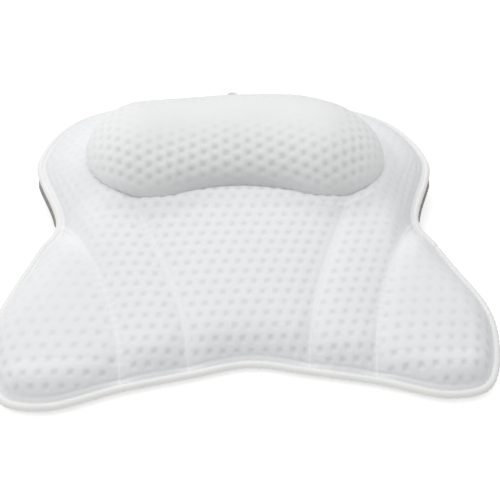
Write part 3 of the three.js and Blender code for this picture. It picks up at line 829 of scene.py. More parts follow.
@dataclass(frozen=True)
class Swelling:
    """Cloth under the pressure of its filling, worked out by simulation on a coarse grid."""

    pressure: float = 4.0
    frames: int = 20
    quality: int = 6
    cap: float = 3.5
    tension: float = 15.0
    bending: float = 0.8

    def settle(self, grid: Array, held: Array) -> Array:
        """Blows up a sheet that is held at some of its points.

        Args:
            grid: Points of the sheet, in millimetres, facing out.
            held: True where the sheet is sewn down.

        Returns:
            How far each point moves, in millimetres, never further than the cap.
        """
        flat = np.round(grid.reshape(-1, 3), 2)
        _, kept, index = np.unique(flat, axis=0, return_index=True, return_inverse=True)
        index = index.ravel()
        points = grid.reshape(-1, 3)[kept]
        quads = index[grid_faces(*grid.shape[:2])]
        faces = [list(dict.fromkeys(quad)) for quad in quads.tolist()]
        mesh = bpy.data.meshes.new("swelling")
        mesh.from_pydata((points * MM).tolist(), [], [face for face in faces if len(face) > 2])
        mesh.update()
        sheet = link_new("swelling", mesh)
        group = sheet.vertex_groups.new(name="sewn")
        group.add(np.unique(index[held.ravel()]).tolist(), 1.0, "REPLACE")
        moved = self._run(sheet) / MM - points
        bpy.data.objects.remove(sheet)
        bpy.data.meshes.remove(mesh)
        length = np.linalg.norm(moved, axis=1, keepdims=True)
        moved *= self.cap / (self.cap + length)
        return moved[index].reshape(grid.shape)

    def _run(self, sheet: Piece) -> Array:
        """Runs the simulation.

        Args:
            sheet: The sheet, with its sewn points in a group.

        Returns:
            The points that it ends with, in metres.
        """
        modifier = sheet.modifiers.new("cloth", "CLOTH")
        cloth = modifier.settings
        cloth.quality = self.quality
        cloth.use_pressure = True
        cloth.uniform_pressure_force = self.pressure
        cloth.tension_stiffness = self.tension
        cloth.compression_stiffness = self.tension
        cloth.bending_stiffness = self.bending
        cloth.effector_weights.gravity = 0.0
        cloth.vertex_group_mass = "sewn"
        modifier.collision_settings.use_collision = False
        modifier.point_cache.frame_start, modifier.point_cache.frame_end = 1, self.frames
        scene = bpy.context.scene
        for moment in range(1, self.frames + 1):
            scene.frame_set(moment)
        result = sheet.evaluated_get(bpy.context.evaluated_depsgraph_get()).to_mesh()
        points = np.empty(len(result.vertices) * 3, dtype=np.float32)
        result.vertices.foreach_get("co", points)
        scene.frame_set(1)
        return points.reshape(-1, 3).astype(float)


class Value:
    """A number from a shader tree that can be used in Python expressions."""

    def __init__(self, book: "NodeBook", socket: bpy.types.NodeSocket) -> None:
        """Keeps the tree and the socket."""
        self.book = book
        self.socket = socket

    def _maths(self, operation: str, first: Any, second: Any = 0.0) -> "Value":
        """Adds a Math node and returns its result."""
        return self.book.value("ShaderNodeMath", {"operation": operation}, {0: first, 1: second})

    def __add__(self, other: Any) -> "Value":
        """The sum."""
        return self._maths("ADD", self, other)

    __radd__ = __add__

    def __mul__(self, other: Any) -> "Value":
        """The product."""
        return self._maths("MULTIPLY", self, other)

    __rmul__ = __mul__

    def __sub__(self, other: Any) -> "Value":
        """The difference."""
        return self._maths("SUBTRACT", self, other)

    def __rsub__(self, other: Any) -> "Value":
        """The difference, the other way round."""
        return self._maths("SUBTRACT", other, self)

    def sine(self) -> "Value":
        """The sine of the value in radians."""
        return self._maths("SINE", self)


def add_node(tree: bpy.types.NodeTree, kind: str, settings: dict[str, Any],
             inputs: dict[Any, Any]) -> bpy.types.Node:
    """Adds a node to a tree.

    Args:
        tree: The tree.
        kind: Type of the node.
        settings: Its settings, which are set first.
        inputs: Values, sockets or Values for its inputs, by name or place.

    Returns:
        The node.
    """
    node = tree.nodes.new(kind)
    for name, setting in settings.items():
        setattr(node, name, setting)
    for name, given in inputs.items():
        source = given.socket if isinstance(given, Value) else given
        if isinstance(source, bpy.types.NodeSocket):
            tree.links.new(source, node.inputs[name])
        else:
            node.inputs[name].default_value = source
    return node


class NodeBook:
    """The node tree of one material."""

    def __init__(self, name: str) -> None:
        """Starts a material with an empty tree.

        Args:
            name: Name of the material.
        """
        self.material = bpy.data.materials.new(name)
        self.material.use_nodes = True
        self.tree = self.material.node_tree
        self.tree.nodes.clear()

    def node(self, kind: str, settings: dict[str, Any] | None = None,
             inputs: dict[Any, Any] | None = None) -> bpy.types.Node:
        """Adds a node with its settings and inputs."""
        return add_node(self.tree, kind, settings or {}, inputs or {})

    def value(self, kind: str, settings: dict[str, Any] | None = None,
              inputs: dict[Any, Any] | None = None, output: Any = 0) -> Value:
        """Adds a node and returns one of its outputs as a Value."""
        return Value(self, self.node(kind, settings, inputs).outputs[output])

    def cloth_place(self) -> tuple[Value, Value]:
        """Place on the flat cloth.

        Returns:
            The two coordinates, in millimetres.
        """
        place = self.node("ShaderNodeUVMap", {"uv_map": "cloth"})
        parts = self.node("ShaderNodeSeparateXYZ", None, {0: place.outputs["UV"]})
        return Value(self, parts.outputs["X"]), Value(self, parts.outputs["Y"])

    def object_place(self) -> bpy.types.NodeSocket:
        """Place in the object's own coordinates."""
        return self.node("ShaderNodeTexCoord").outputs["Object"]

    def noise(self, place: Any, scale: float, detail: float) -> Value:
        """A cloudy noise from 0 to 1 at a place."""
        return self.value("ShaderNodeTexNoise", None, {"Vector": place, "Scale": scale, "Detail": detail})

    def mixed(self, share: Value, low: Sequence[float], high: Sequence[float]) -> bpy.types.NodeSocket:
        """A colour between two colours."""
        inputs = {0: share, 6: (*low, 1.0), 7: (*high, 1.0)}
        return self.node("ShaderNodeMix", {"data_type": "RGBA", "clamp_factor": True}, inputs).outputs[2]

    def bump(self, height: Value, strength: float, distance: float) -> bpy.types.NodeSocket:
        """A normal from a height."""
        inputs = {"Height": height, "Strength": strength, "Distance": distance}
        return self.node("ShaderNodeBump", None, inputs).outputs["Normal"]

    def finish(self, inputs: dict[str, Any]) -> bpy.types.Material:
        """Ends the tree in a Principled shader.

        Args:
            inputs: Inputs of the shader, by name.

        Returns:
            The material.
        """
        shader = self.node("ShaderNodeBsdfPrincipled", None, inputs)
        self.node("ShaderNodeOutputMaterial", None, {"Surface": shader.outputs[0]})
        return self.material


@dataclass(frozen=True)
class AirMesh:
    """Spacer knit: a soft white face of fine loops over a hollow lattice, darkened towards its hollow colour as
    painted shade.
    """

    name: str
    yarn: Triple = (0.872, 0.879, 0.893)
    # Colour of the painted shade: in the hollows of the knit, and wherever the 'hollow' attribute carries more
    # painted shade
    hollow: Triple = (0.70, 0.707, 0.722)
    loop_pitch: float = 1.15
    course_pitch: float = 0.9

    def material(self) -> bpy.types.Material:
        """Makes the finish.

        Returns:
            The material.
        """
        book = NodeBook(self.name)
        u, v = book.cloth_place()
        loops = (u * (2 * math.pi / self.loop_pitch)).sine() * (v * (2 * math.pi / self.course_pitch)).sine()
        depth = book.value("ShaderNodeAttribute", {"attribute_name": "hollow"}, None, "Fac")
        cloud = book.noise(book.object_place(), 38.0, 3.0)
        # The attribute paints shade where it is positive (the knit's hollows, the headrest's foot, the rear's side
        # wall) and paints light and highlight where it is negative
        tone = 0.28 + depth * 0.42 + (cloud - 0.5) * 0.15 - loops * 0.03
        return book.finish({
            "Base Color": book.mixed(tone, self.yarn, self.hollow),
            "Roughness": 0.9 - loops * 0.06 - depth * 0.05,
            "Normal": book.bump(loops, 0.25, 0.00015),
            "Specular IOR Level": 0.2,
            "Sheen Weight": 0.08,
            "Sheen Roughness": 0.6,
        })


@dataclass(frozen=True)
class BiasCloth:
    """Fine cloth cut on the slant, wrapped round the piping cord."""

    name: str
    light: Triple = (0.86, 0.86, 0.85)
    dark: Triple = (0.79, 0.79, 0.78)
    rib_pitch: float = 0.8

    def material(self) -> bpy.types.Material:
        """Makes the finish.

        Returns:
            The material.
        """
        book = NodeBook(self.name)
        u, v = book.cloth_place()
        ribs = ((u + v) * (2 * math.pi / self.rib_pitch)).sine()
        cloud = book.noise(book.object_place(), 60.0, 4.0)
        return book.finish({
            "Base Color": book.mixed(0.4 - ribs * 0.15 + (cloud - 0.5) * 0.8, self.light, self.dark),
            "Roughness": 0.78 - ribs * 0.05,
            "Normal": book.bump(ribs, 0.2, 0.0001),
            "Specular IOR Level": 0.25,
        })


@dataclass(frozen=True)
class PlainWeave:
    """Webbing or tape of crossed yarns, seen on its object's own coordinates."""

    name: str
    light: Triple = (0.74, 0.74, 0.73)
    dark: Triple = (0.55, 0.55, 0.545)
    yarn_pitch: float = 1.4

    def material(self) -> bpy.types.Material:
        """Makes the finish.

        Returns:
            The material.
        """
        book = NodeBook(self.name)
        place = book.object_place()
        parts = book.node("ShaderNodeSeparateXYZ", None, {0: place})
        turn = math.pi / (self.yarn_pitch * MM)
        x, y = (Value(book, parts.outputs[axis]) * turn for axis in ("X", "Y"))
        weave = x.sine() * y.sine()
        cloud = book.noise(place, 90.0, 3.0)
        return book.finish({
            "Base Color": book.mixed(0.45 - weave * 0.3 + (cloud - 0.5) * 0.5, self.light, self.dark),
            "Roughness": 0.84 - weave * 0.06,
            "Normal": book.bump(weave, 0.5, 0.0003),
            "Specular IOR Level": 0.25,
        })


@dataclass(frozen=True)
class SoftVinyl:
    """Clear soft vinyl, a little cloudy and scuffed."""

    name: str
    clear: Triple = (0.88, 0.92, 0.93)
    cloudy: Triple = (0.78, 0.83, 0.85)

    def material(self) -> bpy.types.Material:
        """Makes the finish.

        Returns:
            The material.
        """
        book = NodeBook(self.name)
        place = book.object_place()
        cloud = book.noise(place, 45.0, 3.0)
        scuff = book.noise(place, 420.0, 2.0)
        return book.finish({
            "Base Color": book.mixed(cloud, self.clear, self.cloudy),
            "Roughness": 0.1 + scuff * 0.14,
            "Normal": book.bump(scuff, 0.08, 0.0002),
            "Transmission Weight": 0.55,
            "IOR": 1.5,
        })


@dataclass(frozen=True)
class FibreFill:
    """Loose polyester fibre."""

    name: str
    light: Triple = (0.9, 0.9, 0.9)
    dark: Triple = (0.76, 0.76, 0.77)

    def material(self) -> bpy.types.Material:
        """Makes the finish.

        Returns:
            The material.
        """
        book = NodeBook(self.name)
        place = book.object_place()
        strands = book.noise(place, 260.0, 8.0)
        tufts = book.noise(place, 35.0, 3.0)
        return book.finish({
            "Base Color": book.mixed(strands * 0.7 + tufts * 0.3, self.light, self.dark),
            "Roughness": 0.95 - strands * 0.1,
            "Normal": book.bump(strands, 0.6, 0.001),
        })


@dataclass(frozen=True)
class Thread:
    """White sewing thread with a faint twist."""

    name: str
    light: Triple = (0.93, 0.93, 0.93)
    dark: Triple = (0.84, 0.84, 0.84)

    def material(self) -> bpy.types.Material:
        """Makes the finish.

        Returns:
            The material.
        """
        book = NodeBook(self.name)
        twist = book.noise(book.object_place(), 900.0, 2.0)
        return book.finish({
            "Base Color": book.mixed(twist, self.light, self.dark),
            "Roughness": 0.62 + twist * 0.1,
            "Normal": book.bump(twist, 0.3, 0.0001),
        })


class Finishes:
    """The materials of the pillow, one for each finish."""

    def __init__(self) -> None:
        """Makes them all."""
        self.top = AirMesh("top_air_mesh").material()
        # The headrest's hollow colour is also the colour of the painted shade at its foot
        self.headrest = AirMesh("headrest_air_mesh", (0.87, 0.873, 0.876), (0.60, 0.605, 0.61)).material()
        # The rear's hollow colour is dark for the painted shade on its side wall under the piping
        self.rear = AirMesh("rear_air_mesh", (0.65, 0.655, 0.65), (0.22, 0.222, 0.21)).material()
        self.piping = BiasCloth("piping_cloth").material()
        self.webbing = PlainWeave("patch_webbing").material()
        self.cord = BiasCloth("loop_cord", (0.8, 0.8, 0.79), (0.66, 0.66, 0.65), 1.1).material()
        self.vinyl = SoftVinyl("cup_vinyl").material()
        self.fibre = FibreFill("polyester_fibre").material()
        self.thread = Thread("sewing_thread").material()


class Slot(Enum):
    """The record's material slots."""

    AIR_MESH = "air_mesh"
    REAR_MESH = "rear_mesh"
    PIPING = "piping"
    FILL = "fibre_fill"
    WEBBING = "webbing"
    VINYL = "soft_vinyl"


def settle_in(piece: Piece, body: str, nodes: Sequence[str] = ()) -> Piece:
    """Tells the frame what a finished piece is.

    Args:
        piece: The piece.
        body: The body that it moves with.
        nodes: The nodes that it stands for.

    Returns:
        The piece.
    """
    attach(piece, body)
    if nodes:
        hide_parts(*nodes)
    LOG.info("%s: %d faces on %s", piece.name, len(piece.data.polygons), body)
    return piece


@dataclass(frozen=True)
class StitchSizes:
    """Sizes of a row of stitches, in millimetres."""

    pitch: float = 3.4
    length: float = 2.5
    thread: float = 0.4


class StitchRow:
    """Geometry nodes that lay stitches along a path."""

    def __init__(self, thread: bpy.types.Material, sizes: StitchSizes) -> None:
        """Builds the tree.

        Args:
            thread: Finish of the stitches.
            sizes: Sizes of the stitches.
        """
        self.thread = thread
        self.sizes = sizes
        self.tree = bpy.data.node_groups.new("stitch_row", "GeometryNodeTree")
        face = self.tree.interface
        face.new_socket("Geometry", in_out="INPUT", socket_type="NodeSocketGeometry")
        names = ("Pitch", "Length", "Thread")
        self.inputs = {n: face.new_socket(n, in_out="INPUT", socket_type="NodeSocketFloat").identifier for n in names}
        self.inputs["Material"] = face.new_socket(
            "Material", in_out="INPUT", socket_type="NodeSocketMaterial").identifier
        face.new_socket("Geometry", in_out="OUTPUT", socket_type="NodeSocketGeometry")
        self._fill()

    def _fill(self) -> None:
        """Adds the nodes: points along the path, a stitch on each, realized and given its finish."""
        add = partial(add_node, self.tree)
        given = add("NodeGroupInput", {}, {}).outputs
        path = add("GeometryNodeMeshToCurve", {}, {"Mesh": given["Geometry"]})
        points = add("GeometryNodeResampleCurve", {"mode": "LENGTH"},
                     {"Curve": path.outputs[0], "Length": given["Pitch"]})
        ball = add("GeometryNodeMeshUVSphere", {}, {"Segments": 8, "Rings": 5, "Radius": 0.5})
        size = add("ShaderNodeCombineXYZ", {}, {"X": given["Thread"], "Y": given["Thread"], "Z": given["Length"]})
        stitch = add("GeometryNodeTransform", {}, {"Geometry": ball.outputs["Mesh"], "Scale": size.outputs[0]})
        tangent = add("GeometryNodeInputTangent", {}, {})
        turn = add("FunctionNodeAlignRotationToVector", {"axis": "Z"}, {"Vector": tangent.outputs[0]})
        laid = add("GeometryNodeInstanceOnPoints", {}, {
            "Points": points.outputs[0], "Instance": stitch.outputs[0], "Rotation": turn.outputs[0]})
        real = add("GeometryNodeRealizeInstances", {}, {"Geometry": laid.outputs[0]})
        smooth = add("GeometryNodeSetShadeSmooth", {}, {"Geometry": real.outputs[0]})
        dressed = add("GeometryNodeSetMaterial", {}, {"Geometry": smooth.outputs[0], "Material": given["Material"]})
        add("NodeGroupOutput", {}, {0: dressed.outputs[0]})

    def sew(self, name: str, paths: Sequence[Array], maker: MeshMaker, slot: Slot) -> Piece:
        """Sews along paths on the pillow.

        Args:
            name: Name of the piece.
            paths: Lines of points, in millimetres of the plan.
            maker: Knows where the plan lies.
            slot: Material slot of what is sewn; not used.

        Returns:
            The stitches as one plain mesh.
        """
        points = np.vstack(paths)
        ends = np.cumsum([len(path) for path in paths])
        edges = [(i, i + 1) for i in range(len(points) - 1) if i + 1 not in ends]
        line = bpy.data.meshes.new(name + "_path")
        line.from_pydata(maker.placed(points).tolist(), edges, [])
        carrier = link_new(name + "_path", line)
        modifier = carrier.modifiers.new("stitches", "NODES")
        modifier.node_group = self.tree
        given = {"Pitch": self.sizes.pitch * MM, "Length": self.sizes.length * MM,
                 "Thread": self.sizes.thread * MM, "Material": self.thread}
        for key, value in given.items():
            modifier[self.inputs[key]] = value
        sewn = evaluated_mesh(carrier)
        bpy.data.objects.remove(carrier)
        bpy.data.meshes.remove(line)
        return settle_in(link_new(name, sewn), "pillow")


@dataclass(frozen=True)
class Puckers:
    """A row of uneven puckers along a seam, in millimetres."""

    height: float
    pitch: float
    seed: float
    away: float
    width: float

    def lift(self, run: Array, away: Array) -> Array:
        """How far the puckers lift the cloth, at a run along the seam and a distance from it."""
        return self.height * uneven_wave(run, self.pitch, self.seed) * hill(away - self.away, self.width)


@dataclass(frozen=True)
class SideCreases:
    """Long creases beside the piping, from the lobes down to the neck, in millimetres."""

    middle_knot: float = 7.75
    reach_knots: float = 0.7
    creases: tuple[Span, ...] = ((6.5, 0.35), (11.5, 0.3), (17.0, 0.2))
    half_width: float = 1.3
    bank_share: float = 0.5
    bank_away: float = 2.6
    bank_width: float = 1.5
    wander: float = 1.4
    wave: float = 17.0
    phase: float = 2.0

    def lift(self, reading: Reading, knots: int) -> Array:
        """How far the creases, and the banks beside them, lift the cloth.

        Args:
            reading: What the form says about the points.
            knots: How many knots the outline has.

        Returns:
            Heights, negative in the creases.
        """
        share = np.minimum(reading.rim_share, 1.0 - reading.rim_share)
        lift = np.zeros(share.shape)
        for place, (away, depth) in enumerate(self.creases):
            wander = self.wander * np.sin(reading.rim_run / self.wave + self.phase * place)
            beside = reading.rim_away - away - wander
            lift -= depth * hill(beside, self.half_width)
            lift += self.bank_share * depth * hill(beside - self.bank_away, self.bank_width)
        return lift * hill(share - self.middle_knot / knots, self.reach_knots / knots)


@dataclass
class TopCover:
    """The four panels of the top cover, swollen by the filling and sewn edge to edge."""

    form: PadForm
    maker: MeshMaker
    finishes: Finishes
    stitches: StitchRow
    fineness: Fineness = Fineness()
    step: int = 4
    gap: float = 0.03
    fill: float = 0.7
    smoothing: int = 6
    sewn_margin: float = 2.0
    front_end: Span = (20.0, 100.0)
    hollow_depth: float = 0.7
    seam_fade: Span = (1.2, 4.5)
    rim_fade: Span = (1.5, 4.2)
    slack_depth: float = 0.38
    slack_across: Span = (90.0, 145.0)
    slack_along: Span = (22.0, 95.0)
    roll_depth: float = 0.4
    roll_away: float = 9.0
    roll_width: float = 7.0
    roll_end: Span = (45.0, 75.0)
    lip_height: float = 1.3
    lip_reach: float = 1.25
    lip_width: float = 1.9
    lip_groove_depth: float = 0.3
    lip_groove_away: float = 0.3
    lip_groove_width: float = 0.7
    ridge_height: float = 0.45
    ridge_width: float = 0.9
    back_ridge_share: float = 0.6
    front_widening: float = 0.9
    # Painted highlight along the seams, stronger at the front
    seam_highlight: float = 0.55
    back_highlight_share: float = 0.65
    groove_depth: float = 0.15
    groove_away: float = 2.6
    groove_width: float = 1.6
    groove_pitch: float = 5.3
    groove_seed: float = 0.7
    groove_swing: float = 0.25
    seam_puckers: Puckers = Puckers(height=0.1, pitch=6.4, seed=2.1, away=2.0, width=5.0)
    rim_puckers: Puckers = Puckers(height=0.15, pitch=8.5, seed=1.3, away=3.0, width=6.0)
    rim_pucker_start: Span = (0.0, 2.0)
    side_creases: SideCreases = SideCreases()
    brow_height: float = 5.6
    brow_away: float = 3.0
    brow_width: float = 12.0
    brow_start: Span = (4.0, 20.0)
    crimp_height: float = 0.4
    crimp_fold: Span = (9.5, 1.5)
    crimp_groove: Span = (6.5, 1.3)
    crimp_wander: float = 0.6
    crimp_wave: float = 11.0
    crimp_start: Span = (45.0, 75.0)
    crimp_end: Span = (105.0, 132.0)
    stitch_start: float = 0.012
    stitch_samples: int = 300
    stitch_margin: float = 1.0
    stitch_lift: float = 0.1
    swelling: Swelling = Swelling()
    lattices: dict[Panel, Lattice] = field(default_factory=lambda: {
        Panel.CENTRE: Lattice(lean=-0.098, shift=(0.0, 102.7)),
        Panel.YOKE: Lattice(lean=-0.098, shift=(0.0, 102.7)),
        Panel.RIGHT_WING: Lattice(pitch=10.9, row_spacing=10.6, lean=-0.19, depth=1.1, unrolled=0.35,
                                  shift=(11.4, -1.3)),
        Panel.LEFT_WING: Lattice(pitch=11.2, row_spacing=10.4, shift=(9.7, 10.2)),
    })

    def build(self) -> list[Piece]:
        """Builds the panels and the stitches of their seams."""
        return [*map(self._panel, Panel), self._seam_stitches()]

    def surface(self, plan: Array) -> tuple[Array, Reading]:
        """The outside of the cover over plan points, before it swells.

        Args:
            plan: Points, X and Y along the last axis.

        Returns:
            The points of the outside, and what the form says about them.
        """
        reading = self.form.read_top(plan, 0.0, self.form.sizes.cover_inset)
        away = self._headrest_away(plan)
        brow = self.brow_height * hill(away - self.brow_away, self.brow_width) + self._crimp(plan[..., 0], away)
        return raised(plan, reading.height + brow * smoothstep(reading.rim_away, *self.brow_start)), reading

    def _crimp(self, x: Array, away: Array) -> Array:
        """A small fold of slack cloth beside the right half of the headrest.

        Args:
            x: Places across the pad.
            away: Distances from the seam of the headrest.

        Returns:
            Heights, negative in the groove on the inside of the fold.
        """
        beside = away - self.crimp_wander * np.sin(x / self.crimp_wave)
        (fold, fold_width), (groove, groove_width) = self.crimp_fold, self.crimp_groove
        crimp = self.crimp_height * (hill(beside - fold, fold_width) - hill(beside - groove, groove_width))
        return crimp * smoothstep(x, *self.crimp_start) * (1.0 - smoothstep(x, *self.crimp_end))

    def _panel(self, panel: Panel) -> Piece:
        """Builds one panel: swollen, creased at its seams and knitted with hollows, with painted shade in the hollows
        and a painted highlight along its seams.

        Args:
            panel: Which panel.

        Returns:
            The panel, as a closed cover.
        """
        sizes = self.form.sizes
        plan = self.form.panel_plan(panel, sizes.cover_inset, self.gap, self.fineness)
        outer, reading = self.surface(plan)
        coarse = outer[::self.step, ::self.step]
        sewn = self._sewn(coarse)
        moved = self._smoothed(self.swelling.settle(coarse, sewn), sewn)
        outer = outer + spread(moved, *outer.shape[:2])
        hollow = self._hollows(panel, plan, reading)
        lift = self._folds(reading) - self.hollow_depth * hollow
        outer = outer + grid_normals(outer) * lift[..., None]
        lip = clamp01(1.0 - reading.rim_away / self.lip_width)[..., None]
        outer[..., 2:] += self.lip_height * lip
        outer[..., :2] -= self.lip_reach * lip * self.form.outline.inward(reading.rim_share)

        inside = self.form.panel_plan(panel, sizes.inner_inset, self.gap, self.fineness.coarser(self.step))
        inner_height = self.form.read_top(inside, sizes.cover_thickness, sizes.inner_inset).height
        inner = raised(inside, inner_height) + np.minimum(moved, 0.0)
        front = 1.0 - smoothstep(plan[..., 1], *self.front_end)
        width = self.ridge_width * (1.0 + self.front_widening * front)
        # Painted highlight on the seam ridges, taken off the painted shade of the hollows
        highlight = self.seam_highlight * lerp(self.back_highlight_share, 1.0, front)
        shade = hollow - highlight * hill(reading.seam_away / width, 1.0)
        piece = self.maker.shell(panel.value + "_cloth", outer, inner, self.step, self.finishes.top,
                                 reading.cloth, shade)
        return settle_in(piece, "pillow", [panel.value])

    def _smoothed(self, moved: Array, sewn: Array) -> Array:
        """Evens out the moves of a swollen panel.

        Args:
            moved: How far each point of the coarse grid moves.
            sewn: True where the panel is sewn down, which stays as it is.

        Returns:
            The evened moves.
        """
        for _ in range(self.smoothing):
            wide = np.pad(moved, ((1, 1), (1, 1), (0, 0)), mode="edge")
            mean = (wide[:-2, 1:-1] + wide[2:, 1:-1] + wide[1:-1, :-2] + wide[1:-1, 2:]) / 4.0
            moved = np.where(sewn[..., None], moved, 0.5 * (moved + mean))
        return moved

    def _sewn(self, grid: Array) -> Array:
        """Finds where a panel is sewn down: along its border and under the headrest.

        Args:
            grid: Points of the panel.

        Returns:
            True at each point that is sewn down.
        """
        sewn = np.zeros(grid.shape[:2], dtype=bool)
        sewn[[0, -1]] = True
        sewn[:, [0, -1]] = True
        return sewn | (self._headrest_away(grid[..., :2]) < self.sewn_margin)

    def _headrest_away(self, plan: Array) -> Array:
        """Measures from the seam of the headrest.

        Args:
            plan: Points, X and Y along the last axis.

        Returns:
            Distances outside the seam, negative under the headrest.
        """
        headrest = self.form.headrest
        x, y = np.abs(plan[..., 0]), plan[..., 1] - headrest.spine_setback + headrest.spine_radius
        end = headrest.spine_radius * np.array((math.sin(headrest.spine_angle), math.cos(headrest.spine_angle)))
        from_spine = np.abs(np.hypot(x, y) - headrest.spine_radius)
        past_end = np.arctan2(x, y) > headrest.spine_angle
        reach = np.where(past_end, np.hypot(x - end[0], y - end[1]), from_spine)
        return reach - headrest.half_depth * math.cos(headrest.tuck)

    def _hollows(self, panel: Panel, plan: Array, reading: Reading) -> Array:
        """Knits the hollows, which fade out at the seams and the rim.

        Args:
            panel: Which panel.
            plan: Points of the panel.
            reading: What the form says about them.

        Returns:
            How deep each point lies in a hollow.
        """
        fade = smoothstep(reading.seam_away, *self.seam_fade) * smoothstep(reading.rim_away, *self.rim_fade)
        lattice = self.lattices[panel]
        cloth = lerp(plan, reading.cloth, lattice.unrolled)
        return lattice.hollows(cloth) * fade * self._depth_share(plan, reading)

    def _depth_share(self, plan: Array, reading: Reading) -> Array:
        """How deep the hollows are: less on the stretched lobes and wings, more on the rolled front.

        Args:
            plan: Points of the panel.
            reading: What the form says about them.

        Returns:
            Shares of the full depth.
        """
        x, y = np.abs(plan[..., 0]), plan[..., 1]
        stretched = smoothstep(x, *self.slack_across) * smoothstep(y, *self.slack_along)
        rolled = hill(reading.rim_away - self.roll_away, self.roll_width) * (1.0 - smoothstep(y, *self.roll_end))
        return lerp(1.0, self.slack_depth, stretched) * (1.0 + self.roll_depth * rolled)

    def _folds(self, reading: Reading) -> Array:
        """Folds the cloth along the seams and the piping: ridges, grooves, puckers and creases.

        Args:
            reading: What the form says about the points.

        Returns:
            How far each point is lifted.
        """
        away, run, rim_away = reading.seam_away, reading.seam_run, reading.rim_away
        front = 1.0 - smoothstep(reading.cloth[..., 1], *self.front_end)
        folds = self.ridge_height * lerp(self.back_ridge_share, 1.0, front) * hill(away, self.ridge_width)
        folds -= self.lip_groove_depth * hill(rim_away - self.lip_width - self.lip_groove_away, self.lip_groove_width)
        groove = 1.0 - self.groove_swing + self.groove_swing * uneven_wave(run, self.groove_pitch, self.groove_seed)
        folds -= self.groove_depth * hill(away - self.groove_away, self.groove_width) * groove
        folds += self.seam_puckers.lift(run, away)
        folds += self.rim_puckers.lift(reading.rim_run, rim_away) * smoothstep(rim_away, *self.rim_pucker_start)
        return folds + self.side_creases.lift(reading, self.form.outline.count)

    def _seam_stitches(self) -> Piece:
        """Sews the four seams, up to the headrest.

        Returns:
            The stitches.
        """
        shares = np.linspace(self.stitch_start, 1.0, self.stitch_samples)
        paths = []
        for seam in (self.form.inner_seam, self.form.outer_seam):
            plan = seam(self.form.sizes.cover_inset, shares)
            plan = plan[self._headrest_away(plan) > self.stitch_margin]
            points, reading = self.surface(plan)
            points[:, 2] += self._folds(reading) + self.stitch_lift
            paths += [points, points * (-1.0, 1.0, 1.0)]
        return self.stitches.sew("panel_seam_stitches", paths, self.maker, Slot.AIR_MESH)


